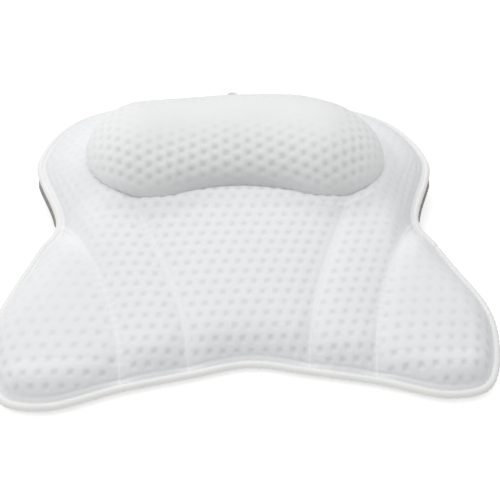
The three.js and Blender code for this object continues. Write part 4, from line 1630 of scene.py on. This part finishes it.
@dataclass
class Headrest:
    """The kidney-shaped headrest: a domed cover and the seam round its foot.

    Spans of the climb go from 0 at the foot to 1 at the crest.
    """

    form: PadForm
    maker: MeshMaker
    finishes: Finishes
    stitches: StitchRow
    around: int = 544
    rings: int = 80
    step: int = 4
    fill: float = 0.85
    foot_end: Span = (0.1, 0.5)
    hollow_depth: float = 1.3
    hollow_start: Span = (0.1, 0.36)
    crown_depth: float = 0.05
    crown_start: Span = (0.5, 0.9)
    end_depth: float = 0.45
    end_start: Span = (100.0, 130.0)
    # Painted shade on the lower front of the dome, and painted light on its two ends
    foot_shade: float = 0.9
    foot_shade_width: float = 60.0
    foot_facing: Span = (0.2, 0.7)
    end_light: float = 0.35
    end_light_start: Span = (85.0, 120.0)
    left_lean: float = -4.2
    left_lean_climb: Span = (0.0, 0.2)
    right_lean: float = -3.2
    right_lean_climb: Span = (0.0, 0.5)
    lean_change: Span = (-60.0, 60.0)
    bulge_climb: Span = (0.25, 0.7)
    bulges: tuple[Triple, ...] = ((66.0, 40.0, 4.2), (-100.0, 26.0, 2.4), (-40.0, 30.0, -1.5))
    gathers: Puckers = Puckers(height=0.35, pitch=9.0, seed=3.3, away=4.0, width=3.5)
    join_fade: Span = (0.0, 12.0)
    stitch_samples: int = 400
    stitch_reach: float = 0.5
    stitch_sink: float = 0.2
    swelling: Swelling = Swelling(cap=3.0)
    lattice: Lattice = Lattice(pitch=10.8, hollow_half_width=2.8, edge_power=2.0, turn=math.pi / 2)

    @property
    def base(self) -> float:
        """Height of the seam on the pad, from the frame."""
        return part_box("headrest_cover")[0].z / MM

    @property
    def top(self) -> float:
        """Height of the crest, from the frame."""
        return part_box("headrest_cover")[1].z / MM

    def build(self) -> list[Piece]:
        """Builds the cover and the stitches round its foot."""
        return [self._cover(), self._foot_stitches()]

    def dome(self, half_depth: float, top: float, around: int, rings: int) -> tuple[Array, Array]:
        """Grid of a dome and the places of its points on the flat cloth.

        Args:
            half_depth: Its greatest reach from the spine.
            top: Height of its crest.
            around: Steps round it.
            rings: Steps from its foot to its crest.

        Returns:
            Points by ring and step, with the first step repeated at the end, and their places on the cloth.
        """
        sizes = self.form.headrest
        share = 2.0 * np.arange(around + 1) / around
        right = share <= 1.0
        half = np.where(right, share, 2.0 - share)
        mirror = np.stack([np.where(right, 1.0, -1.0), np.ones(around + 1)], axis=-1)
        angle = lerp(-sizes.tuck, math.pi / 2, np.arange(rings + 1) / rings)
        lowest = math.sin(-sizes.tuck)
        height = lerp(self.base, top, (np.sin(angle) - lowest) / (1.0 - lowest))
        reach = half_depth * np.cos(angle)
        plan = sizes.plan(reach[:, None], half[None]) * mirror
        steps = np.hypot(np.diff(reach), np.diff(height))
        girth = np.concatenate([np.cumsum(steps[::-1])[::-1], [0.0]])
        outward = sizes.outward(half) * mirror
        cloth = plan + outward[None] * (girth - reach)[:, None, None]
        return raised(plan, np.broadcast_to(height[:, None], plan.shape[:2])), cloth

    def _cover(self) -> Piece:
        """Builds the domed cover: swollen, knitted with hollows and leaning a little to the left, with painted shade
        low on its front and painted light on its ends.

        Returns:
            The cover, closed along its foot.
        """
        depth, thick = self.form.headrest.half_depth, self.form.sizes.cover_thickness
        outer, cloth = self.dome(depth, self.top, self.around, self.rings)
        coarse = outer[::self.step, ::self.step]
        sewn = np.zeros(coarse.shape[:2], dtype=bool)
        sewn[0] = True
        moved = self.swelling.settle(coarse, sewn)
        ring = np.arange(self.rings + 1)[:, None] * np.ones((1, self.around + 1))
        climb = ring / self.rings
        free = smoothstep(climb, *self.foot_end)
        outer = outer + free[..., None] * spread(moved, *outer.shape[:2])
        hollow = self.lattice.hollows(cloth) * self._depth_share(climb, outer)
        lift = -self.hollow_depth * hollow + self._gathered(ring, outer) + self._bulged(climb, outer)
        # The first and last steps meet, and so do the two sides of the crest
        normals = grid_normals(np.concatenate([outer[:, -2:-1], outer, outer[:, 1:2]], axis=1))[:, 1:-1]
        normals[-1] = (0.0, 0.0, 1.0)
        outer = outer + normals * lift[..., None]
        left = self.left_lean * smoothstep(climb, *self.left_lean_climb)
        right = self.right_lean * smoothstep(climb, *self.right_lean_climb)
        outer[..., 0] += lerp(left, right, smoothstep(outer[..., 0], *self.lean_change))
        inner, _ = self.dome(depth - thick, self.top - thick, self.around // self.step, self.rings // self.step)
        # Painted shade low on the front, where the foot tucks in, and painted light on the ends
        x, facing = np.abs(outer[..., 0]), smoothstep(-normals[..., 1], *self.foot_facing)
        shade = hollow + self.foot_shade * (1.0 - free) * hill(x, self.foot_shade_width) * facing
        shade = shade - self.end_light * smoothstep(x, *self.end_light_start)
        piece = self.maker.shell("headrest_cloth", outer, inner, self.step, self.finishes.headrest, cloth, shade,
                                 ring=True)
        return settle_in(piece, "pillow", ["headrest_cover"])

    def _depth_share(self, climb: Array, outer: Array) -> Array:
        """How much of their depth the hollows keep: none at the foot, less on the stretched top and ends."""
        ends = lerp(1.0, self.end_depth, smoothstep(np.abs(outer[..., 0]), *self.end_start))
        return (ends * smoothstep(climb, *self.hollow_start)
                * lerp(1.0, self.crown_depth, smoothstep(climb, *self.crown_start)))

    def _bulged(self, climb: Array, outer: Array) -> Array:
        """Unevenness of the filling, which pushes the upper part of the cover out in places along X."""
        rise = smoothstep(climb, *self.bulge_climb)
        return rise * sum(height * hill(outer[..., 0] - place, width) for place, width, height in self.bulges)

    def _gathered(self, ring: Array, outer: Array) -> Array:
        """Small gathers where the cover is sewn down, fading out where the first and last steps meet."""
        run = run_lengths(outer[0])
        return self.gathers.lift(run, ring) * smoothstep(np.minimum(run, run[-1] - run), *self.join_fade)

    def _foot_stitches(self) -> Piece:
        """Sews round the foot of the headrest.

        Returns:
            The stitches.
        """
        sizes = self.form.headrest
        half = np.linspace(0.0, 1.0, self.stitch_samples)
        right = sizes.plan(sizes.half_depth * math.cos(sizes.tuck) + self.stitch_reach, half)
        plan = np.vstack([right, right[-2:0:-1] * (-1.0, 1.0), right[:1]])
        points = raised(plan, np.full(len(plan), self.base - self.stitch_sink))
        return self.stitches.sew("headrest_foot_stitches", [points], self.maker, Slot.AIR_MESH)


@dataclass
class Edge:
    """The piping round the rim: a cord in slanted cloth, with its sewing flange."""

    form: PadForm
    maker: MeshMaker
    finishes: Finishes
    stitches: StitchRow
    steps: int = 1100
    sides: int = 18
    pucker: float = 0.13
    pucker_pitch: float = 7.0
    pucker_seed: float = 0.4
    pucker_share: float = 0.6
    twist_pitch: float = 5.0
    twist_starts: float = 2.0
    root_end: float = 0.6
    join_knot: float = 5.98
    join_width: float = 1.1
    join_depth: float = 1.0
    flange_cloth: Span = (12.0, 14.0)
    stitch_samples: int = 900
    stitch_lift: float = 1.6
    stitch_inset: float = 5.3

    def build(self) -> list[Piece]:
        """Builds the piping and the stitches at its root."""
        return [self._piping(), self._root_stitches()]

    def _piping(self) -> Piece:
        """Sweeps the section of the piping round the rim.

        Returns:
            The piping with its flange.
        """
        sizes, outline = self.form.sizes, self.form.outline
        radius = sizes.piping_diameter / 2
        shares = outline.even_shares(self.steps)
        run = np.arange(self.steps) * outline.length / self.steps
        root = math.asin(sizes.flange_thickness / sizes.piping_diameter)
        angle = np.linspace(-math.pi + root, math.pi - root, self.sides + 1)
        join_run = np.interp(self.join_knot / outline.count, outline.shares, outline.runs)
        join = self.join_depth * hill(run - join_run, self.join_width)
        swell = self.pucker * uneven_wave(run, self.pucker_pitch, self.pucker_seed) * self.pucker_share - join
        turn = 2 * math.pi * run[:, None] / self.twist_pitch
        spin = self.pucker * np.sin(turn + self.twist_starts * angle[None])
        reach = radius + (swell[:, None] + spin) * smoothstep(math.pi - np.abs(angle), root, self.root_end)[None]
        flange = np.ones((self.steps, 1)) * sizes.inner_inset
        half = np.ones((self.steps, 1)) * sizes.flange_thickness / 2
        inset = np.hstack([radius - reach * np.cos(angle)[None], flange, flange])
        lift = np.hstack([reach * np.sin(angle)[None], half, -half])
        plan = outline.point(shares)[:, None] + outline.inward(shares)[:, None] * inset[..., None]
        points = raised(plan, self.form.rim_height(plan[..., 1]) + lift)
        around = np.concatenate([angle * radius, self.flange_cloth])
        cloth = np.stack(np.broadcast_arrays(run[:, None], around[None]), axis=-1)
        faces = tube_faces(*points.shape[:2], closed=True).tolist()
        piece = self.maker.make("edge_piping_cloth", points.reshape(-1, 3), faces, self.finishes.piping,
                                cloth.reshape(-1, 2))
        return settle_in(piece, "pillow", ["edge_piping"])

    def _root_stitches(self) -> Piece:
        """Sews where the top cover meets the piping.

        Returns:
            The stitches.
        """
        shares = np.append(self.form.outline.even_shares(self.stitch_samples), 1.0)
        plan = self.form.outline.rim(shares, self.stitch_inset)
        points = raised(plan, self.form.rim_height(plan[:, 1]) + self.form.sizes.edge_lift + self.stitch_lift)
        return self.stitches.sew("piping_stitches", [points], self.maker, Slot.PIPING)


@dataclass
class RearCover:
    """The back cover of the pad, bulging a little under the piping beside the neck, with painted shade on that bulge.
    """

    form: PadForm
    maker: MeshMaker
    finishes: Finishes
    step: int = 2
    fill: float = 0.5
    bulge: float = 2.2
    # Painted shade on the side wall under the piping
    wall_shade: float = 1.35
    wall_rise: float = 5.0
    wall_margin: float = 4.0
    neck_margin: float = 12.0
    lobe_margins: Span = (-25.0, 20.0)
    lattice: Lattice = Lattice(hollow_half_width=2.2, depth=0.45)

    def build(self) -> list[Piece]:
        """Builds the cover as one sheet with its thickness.

        Returns:
            The cover, alone in its list.
        """
        sizes = self.form.sizes
        fineness = Fineness().coarser(self.step)
        points, faces, cloth, shades = [], [], [], []
        for panel in Panel:
            plan = self.form.panel_plan(panel, sizes.cover_inset, 0.0, fineness)
            away, index = self.form.near_rim.measure(plan)
            share = self._wall_share(plan, away)
            bulged = plan - ((self.bulge + away) * share)[..., None] * self.form.outline.inwards[index]
            faces += (grid_faces(*plan.shape[:2])[:, ::-1] + sum(map(len, points))).tolist()
            points.append(raised(bulged, self.form.rear_height(plan, away)).reshape(-1, 3))
            cloth.append(plan.reshape(-1, 2))
            shades.append(share.ravel())
        flat = np.vstack(cloth)
        # The knit's hollows and the side wall under the piping, both as painted shade
        hollow = self.lattice.hollows(flat) + self.wall_shade * np.concatenate(shades)
        piece = self.maker.make("rear_cover_cloth", np.vstack(points), faces, self.finishes.rear, flat, hollow)
        wall = piece.modifiers.new("thickness", "SOLIDIFY")
        wall.thickness = (sizes.cover_thickness - sizes.clearance) * MM
        wall.offset = -1.0
        piece.data = evaluated_mesh(piece)
        piece.modifiers.clear()
        return [settle_in(piece, "pillow", ["rear_cover"])]

    def _wall_share(self, plan: Array, away: Array) -> Array:
        """How much of each point is side wall that shows past the piping, between the neck and the lobes.

        Args:
            plan: Points, X and Y along the last axis.
            away: Their distances from the outline.

        Returns:
            Shares from 0 to 1.
        """
        sizes, y = self.form.sizes, plan[..., 1]
        low, high = (sizes.lobe_setback + margin for margin in self.lobe_margins)
        along = smoothstep(y, sizes.neck_setback - self.neck_margin, sizes.neck_setback + self.neck_margin)
        along = along * (1.0 - smoothstep(y, low, high))
        wall = smoothstep(away, sizes.cover_inset, sizes.cover_inset + self.wall_rise)
        start, end = sizes.inner_inset + self.wall_margin, sizes.inner_inset + sizes.rear_roll_width
        return wall * (1.0 - smoothstep(away, start, end)) * along


@dataclass
class Filling:
    """The fibre inside the pad and the headrest, as soft lumps in the space of their solids."""

    finishes: Finishes
    lump: float = 0.9
    mean_sink: float = 0.5
    tuft_sink: float = 0.25
    pad_fill: float = 0.7
    headrest_fill: float = 0.85

    def build(self) -> list[Piece]:
        """Builds both fillings."""
        return [self._lump("pad_fill", "pad_fibre"),
                self._lump("headrest_fill", "headrest_fibre")]

    def _lump(self, node: str, name: str) -> Piece:
        """Rounds and roughens a copy of a filling's solid, only ever inwards.

        Args:
            node: Node of the solid.
            name: Name of the piece.

        Returns:
            The filling.
        """
        shape = bmesh.new()
        shape.from_mesh(frame["nodes"][node].data)
        bmesh.ops.remove_doubles(shape, verts=shape.verts, dist=1e-6)
        bmesh.ops.subdivide_edges(shape, edges=shape.edges, cuts=1, use_grid_fill=True)
        shape.normal_update()
        for point in shape.verts:
            x, y, z = point.co / MM
            tufts = math.sin(x / 7.0 + z / 5.0) + math.sin(y / 6.0 - x / 11.0)
            point.co -= point.normal * self.lump * (self.mean_sink + self.tuft_sink * tufts) * MM
        mesh = bpy.data.meshes.new(name)
        shape.to_mesh(mesh)
        shape.free()
        mesh.polygons.foreach_set("use_smooth", [True] * len(mesh.polygons))
        mesh.materials.append(self.finishes.fibre)
        return settle_in(link_new(name, mesh), "pillow", [node])


@dataclass
class SuctionCups:
    """The six suction cups and the webbing patches that hold them."""

    maker: MeshMaker
    finishes: Finishes
    stitches: StitchRow
    diameter: float = 54.0
    lip_width: float = 4.0
    lip_thickness: float = 1.0
    lip_rounding: float = 0.25
    dome_height: float = 8.0
    dome_foot: float = 0.4
    dome_start: float = 0.04
    dome_power: float = 1.2
    hollow_power: float = 1.4
    wall: float = 2.2
    neck_diameter: float = 9.0
    neck_fillet: float = 0.5
    head_diameter: float = 17.0
    head_bottom: float = 10.5
    head_thickness: float = 3.0
    head_crown: tuple[Span, ...] = ((1.0, 0.5), (0.93, 0.75), (0.7, 0.93), (0.35, 0.99))
    tab_width: float = 11.0
    tab_reach: float = 9.0
    tab_lift: float = 0.3
    tab_thickness: float = 1.4
    tab_rounding: float = 0.3
    tab_gathering: float = 0.82
    patch_size: float = 40.0
    patch_thickness: float = 1.2
    patch_bottom: float = 9.0
    patch_edge: float = 12.3
    patch_flat_margin: float = 1.5
    patch_slope: tuple[Triple, ...] = (
        (1.4, 0.0, 0.25), (2.8, 0.0, 0.62), (5.0, 0.1, 0.92), (7.0, 0.3, 1.0))
    patch_border: float = 1.2
    patch_border_squareness: float = 0.9
    buttonhole_play: float = 0.4
    stitch_inset: float = 2.6
    stitch_squareness: float = 0.8
    stitch_samples: int = 240
    stitch_sink: float = 0.05
    sides: int = 96
    hollow_steps: int = 11
    dome_steps: int = 12

    def build(self) -> list[Piece]:
        """Builds each cup, its patch and the patch's stitches.

        Returns:
            All the pieces.
        """
        pieces = []
        for joint in PIVOTS:
            if joint.startswith("spin_"):
                place = joint.removeprefix("spin_")
                spot = np.array((*PIVOTS[joint][:2], 0.0)) - self.maker.shift
                pieces += [self._cup(place, spot), self._patch(place, spot), self._patch_stitches(place, spot)]
        return pieces

    def _bearings(self) -> Array:
        """Angles round a cup, closer together at the tab."""
        even = np.linspace(-math.pi, math.pi, self.sides, endpoint=False)
        return even - self.tab_gathering * np.sin(even) * np.cos(even / 2) ** 2

    def _reach(self, angle: Array) -> Array:
        """Distance from the axis to the outside of the lip, with the tab at angle 0.

        Args:
            angle: Angles round the cup.

        Returns:
            The distances.
        """
        radius, half = self.diameter / 2, self.tab_width / 2
        middle = radius + self.tab_reach - half
        sine, cosine = np.abs(np.sin(angle)), np.cos(angle)
        end = middle * cosine + np.sqrt(np.maximum(half ** 2 - (middle * sine) ** 2, 0.0))
        side = half / np.maximum(sine, 1e-6)
        tab = np.where(middle * sine <= half, end, side)
        return np.where(cosine > 0, np.maximum(radius, np.minimum(tab, middle + half)), radius)

    def _cup_rings(self, reach: Array) -> list[tuple[Any, Any]]:
        """Reach and height of the rings of a cup, from the edge of its hollow's middle to the top of its head.

        Args:
            reach: Distances from the axis to the outside of the lip.

        Returns:
            The rings in order.
        """
        radius, lip = self.diameter / 2, self.lip_thickness
        hollow, neck, head = radius - self.lip_width, self.neck_diameter / 2, self.head_diameter / 2
        on_tab = smoothstep(reach - radius, 0.0, 1.0)
        top, soft, fillet = self.tab_lift + self.tab_thickness, self.lip_rounding, self.neck_fillet
        rings = [(hollow * math.sin(a), (self.dome_height - self.wall) * math.cos(a) ** self.hollow_power)
                 for a in np.linspace(0.0, math.pi / 2, self.hollow_steps)[1:]]
        rings.append((radius - 0.6, 0.0))
        rings += [(reach - soft, self.tab_lift * on_tab),
                  (reach, lerp(soft, self.tab_lift + self.tab_rounding, on_tab)),
                  (reach, lerp(lip - soft, top - self.tab_rounding, on_tab)),
                  (reach - soft, lerp(lip, top, on_tab)),
                  (np.full(self.sides, radius - 0.4), lerp(lip + 0.15, top, on_tab))]
        foot = lip + self.dome_foot
        rings += [(lerp(radius - 0.8, neck + 0.8, share),
                   lerp(foot, self.dome_height, math.sin(math.pi / 2 * share) ** self.dome_power))
                  for share in np.linspace(self.dome_start, 1.0, self.dome_steps)]
        bottom = self.head_bottom
        rings += [(neck, self.dome_height + fillet), (neck, bottom - 0.4), (neck + fillet, bottom),
                  (head - fillet, bottom), (head, bottom + fillet)]
        return rings + [(share * head, bottom + rise * self.head_thickness) for share, rise in self.head_crown]

    def _cup(self, place: str, spot: Array) -> Piece:
        """Builds one cup as rings round its axis.

        Args:
            place: Which cup.
            spot: Where its axis meets the floor.

        Returns:
            The cup.
        """
        angle = self._bearings()
        rows = np.stack([ring_points(r, angle, z) for r, z in self._cup_rings(self._reach(angle))])
        faces = tube_faces(*rows.shape[:2], closed=False)[:, TURNED].tolist()
        count = rows.shape[0] * self.sides
        first, last = np.arange(self.sides), np.arange(count - self.sides, count)
        faces += [[count, after, before] for before, after in zip(first, np.roll(first, -1))]
        faces += [[count + 1, before, after] for before, after in zip(last, np.roll(last, -1))]
        poles = [(0.0, 0.0, self.dome_height - self.wall), (0.0, 0.0, self.head_bottom + self.head_thickness)]
        points = np.vstack([rows.reshape(-1, 3), poles]) + spot
        piece = self.maker.make(f"cup_{place}_vinyl", points, faces, self.finishes.vinyl)
        return settle_in(piece, f"cup_{place}", [f"suction_cup_{place}"])

    def _patch_rings(self) -> list[Triple]:
        """Reach, squareness and height of the rings of a patch's underside, from its buttonhole out.

        Returns:
            The rings in order.
        """
        hole = self.neck_diameter / 2 + self.buttonhole_play
        flat = self.head_diameter / 2 + self.patch_flat_margin
        low, high, half = self.patch_bottom, self.patch_edge, self.patch_size / 2
        slope = [(flat + away, square, lerp(low, high, rise)) for away, square, rise in self.patch_slope]
        border = [(half - self.patch_border, self.patch_border_squareness, high), (half, 1.0, high)]
        return [(hole, 0.0, low), (flat, 0.0, low), *slope, *border]

    def _square(self, angle: Array, share: float) -> Array:
        """How much further a rounded square reaches than a circle, at a share of squareness."""
        square = (np.abs(np.cos(angle)) ** 6 + np.abs(np.sin(angle)) ** 6) ** (-1 / 6)
        return lerp(1.0, square, share)

    def _patch(self, place: str, spot: Array) -> Piece:
        """Builds one patch: a dished square of webbing with a buttonhole.

        Args:
            place: Which cup it holds.
            spot: Where the cup's axis meets the floor.

        Returns:
            The patch.
        """
        angle = np.linspace(0.0, 2 * math.pi, self.sides, endpoint=False)
        lower = np.stack([ring_points(r * self._square(angle, s), angle, z) for r, s, z in self._patch_rings()])
        points = np.concatenate([lower, lower[::-1] + (0.0, 0.0, self.patch_thickness)])
        faces = tube_faces(*points.shape[:2], closed=True)[:, TURNED].tolist()
        piece = self.maker.make(f"patch_{place}_webbing", points.reshape(-1, 3) + spot, faces, self.finishes.webbing)
        return settle_in(piece, "pillow", [f"cup_patch_{place}"])

    def _patch_stitches(self, place: str, spot: Array) -> Piece:
        """Sews round the edge of a patch.

        Args:
            place: Which cup it holds.
            spot: Where the cup's axis meets the floor.

        Returns:
            The stitches.
        """
        angle = np.linspace(0.0, 2 * math.pi, self.stitch_samples)
        edge = (self.patch_size / 2 - self.stitch_inset) * self._square(angle, self.stitch_squareness)
        border = ring_points(edge, angle, self.patch_edge - self.stitch_sink)
        return self.stitches.sew(f"patch_{place}_stitches", [border + spot], self.maker, Slot.WEBBING)


@dataclass
class HangingLoop:
    """The cord loop at the middle of the back edge."""

    maker: MeshMaker
    finishes: Finishes
    cord_diameter: float = 3.2
    width: float = 15.0
    reach: float = 19.0
    lay: float = 7.5
    strands: int = 3
    groove_share: float = 0.16
    groove_power: float = 0.7
    steps: int = 130
    bend_steps: int = 60
    sides: int = 30

    def build(self) -> list[Piece]:
        """Builds the loop from its twisted cord.

        Returns:
            The loop, alone in its list.
        """
        radius = self.cord_diameter / 2
        bend = self.width / 2 - radius
        leg = self.reach - radius - bend
        arc = np.linspace(math.pi, 0.0, self.bend_steps)
        bow = np.column_stack([bend * np.cos(arc), leg + bend * np.sin(arc)])
        path = np.vstack([[(-bend, 0.0)], bow, [(bend, 0.0)]])
        runs = run_lengths(path)
        run = np.linspace(-radius, runs[-1] + radius, self.steps)
        inside = np.clip(run, 0.0, runs[-1])
        spine = np.column_stack([np.interp(inside, runs, path[:, axis]) for axis in (0, 1)])
        along = unit(np.gradient(spine, axis=0), (0.0, 1.0))
        along[run <= 0.0], along[run >= runs[-1]] = (0.0, 1.0), (0.0, -1.0)
        spine = spine + along * (run - inside)[:, None]
        past = np.maximum(np.maximum(-run, run - runs[-1]), 0.0)
        size = np.sqrt(np.maximum(radius ** 2 - past ** 2, 1e-4))
        turn = np.linspace(0.0, 2 * math.pi, self.sides, endpoint=False)
        twist = self.strands * turn[None] / 2 - math.pi * self.strands * run[:, None] / self.lay
        groove = self.groove_share * np.abs(np.cos(twist)) ** self.groove_power
        section = size[:, None] * (1.0 - self.groove_share + groove)
        side = np.column_stack([along[:, 1], -along[:, 0]])
        plan = spine[:, None] + side[:, None] * (section * np.cos(turn))[..., None]
        points = raised(plan, section * np.sin(turn)).reshape(-1, 3)
        faces = tube_faces(self.steps, self.sides, closed=False).tolist()
        ends = np.arange(self.steps * self.sides).reshape(self.steps, self.sides)[[0, -1]]
        faces += [ends[0].tolist(), ends[1, ::-1].tolist()]
        cloth = np.stack(np.broadcast_arrays(run[:, None], turn[None] * radius), axis=-1).reshape(-1, 2)
        seat = PIVOTS["loop_fold"] - self.maker.shift
        piece = self.maker.make("hanging_loop_cord", points + seat, faces, self.finishes.cord, cloth)
        return [settle_in(piece, "loop", ["hanging_loop"])]


@dataclass
class Studio:
    """The floor, the light and the camera, in metres."""

    aim: Triple = (0.0082, -0.0305, 0.0)
    distance: float = 0.5677
    azimuth: float = math.radians(5.645)
    elevation: float = math.radians(44.0)
    roll: float = math.radians(3.152)
    lens: float = 43.92
    sensor: float = 36.0
    floor_size: float = 12.0
    floor_colour: Triple = (0.75, 0.75, 0.75)
    floor_cloud: float = 0.99
    floor_glow: float = 0.44
    world_strength: float = 0.34
    light_place: Triple = (-0.25, 0.2, 1.3)
    light_size: float = 2.2
    light_power: float = 23.0

    def build(self) -> None:
        """Sets up the scene round the pillow."""
        self._camera()
        self._floor()
        self._light()
        bpy.context.scene.view_settings.view_transform = "Standard"

    def _camera(self) -> None:
        """Places the camera at the viewing angle of the photograph."""
        level = math.cos(self.elevation)
        ahead = Vector((math.sin(self.azimuth) * level, math.cos(self.azimuth) * level, -math.sin(self.elevation)))
        side = Vector((math.cos(self.azimuth), -math.sin(self.azimuth), 0.0))
        up = side.cross(ahead)
        right = side * math.cos(self.roll) + up * math.sin(self.roll)
        up = right.cross(ahead)
        data = bpy.data.cameras.new("camera")
        data.lens, data.sensor_width = self.lens, self.sensor
        camera = link_new("camera", data)
        turn = Matrix((right, up, -ahead)).transposed().to_4x4()
        camera.matrix_world = Matrix.Translation(Vector(self.aim) - ahead * self.distance) @ turn
        bpy.context.scene.camera = camera

    def _floor(self) -> None:
        """Lays a plain pale floor."""
        half = self.floor_size / 2
        mesh = bpy.data.meshes.new("floor")
        mesh.from_pydata([(-half, -half, 0), (half, -half, 0), (half, half, 0), (-half, half, 0)], [], [(0, 1, 2, 3)])
        book = NodeBook("floor_paint")
        cloud = book.noise(book.object_place(), 1.5, 2.0)
        shade = tuple(self.floor_cloud * part for part in self.floor_colour)
        mesh.materials.append(book.finish({
            "Base Color": book.mixed(cloud, self.floor_colour, shade),
            "Roughness": 0.8,
            "Specular IOR Level": 0.1,
            "Emission Color": (1.0, 1.0, 1.0, 1.0),
            "Emission Strength": self.floor_glow,
        }))
        link_new("floor", mesh)

    def _light(self) -> None:
        """Hangs one large soft light over the pillow, behind it and to the left, under a plain white sky."""
        world = bpy.data.worlds.new("studio")
        world.use_nodes = True
        sky = next(node for node in world.node_tree.nodes if node.type == "BACKGROUND")
        sky.inputs["Color"].default_value = (1.0, 1.0, 1.0, 1.0)
        sky.inputs["Strength"].default_value = self.world_strength
        bpy.context.scene.world = world
        data = bpy.data.lights.new("overhead", "AREA")
        data.size, data.energy = self.light_size, self.light_power
        light = link_new("overhead", data)
        light.location = self.light_place
        light.rotation_euler = (-Vector(self.light_place)).to_track_quat("-Z", "Y").to_euler()


def main() -> None:
    """Builds the pillow, piece by piece, and its studio."""
    logging.basicConfig(level=logging.INFO, format="%(name)s: %(message)s")
    Studio().build()
    form = PadForm(PadSizes(), HeadrestSizes())
    soft_maker, plain_maker = MeshMaker(form.shift, WING_FULLNESS), MeshMaker(form.shift, 0.0)
    finishes = Finishes()
    stitches = StitchRow(finishes.thread, StitchSizes())
    assemblies = (
        TopCover(form, soft_maker, finishes, stitches),
        Headrest(form, soft_maker, finishes, stitches),
        Edge(form, soft_maker, finishes, stitches),
        RearCover(form, soft_maker, finishes),
        Filling(finishes),
        SuctionCups(plain_maker, finishes, stitches),
        HangingLoop(plain_maker, finishes),
    )
    for assembly in assemblies:
        pieces = assembly.build()
        LOG.info("%s: %d pieces", type(assembly).__name__, len(pieces))


if __name__ == "__main__":
    main()
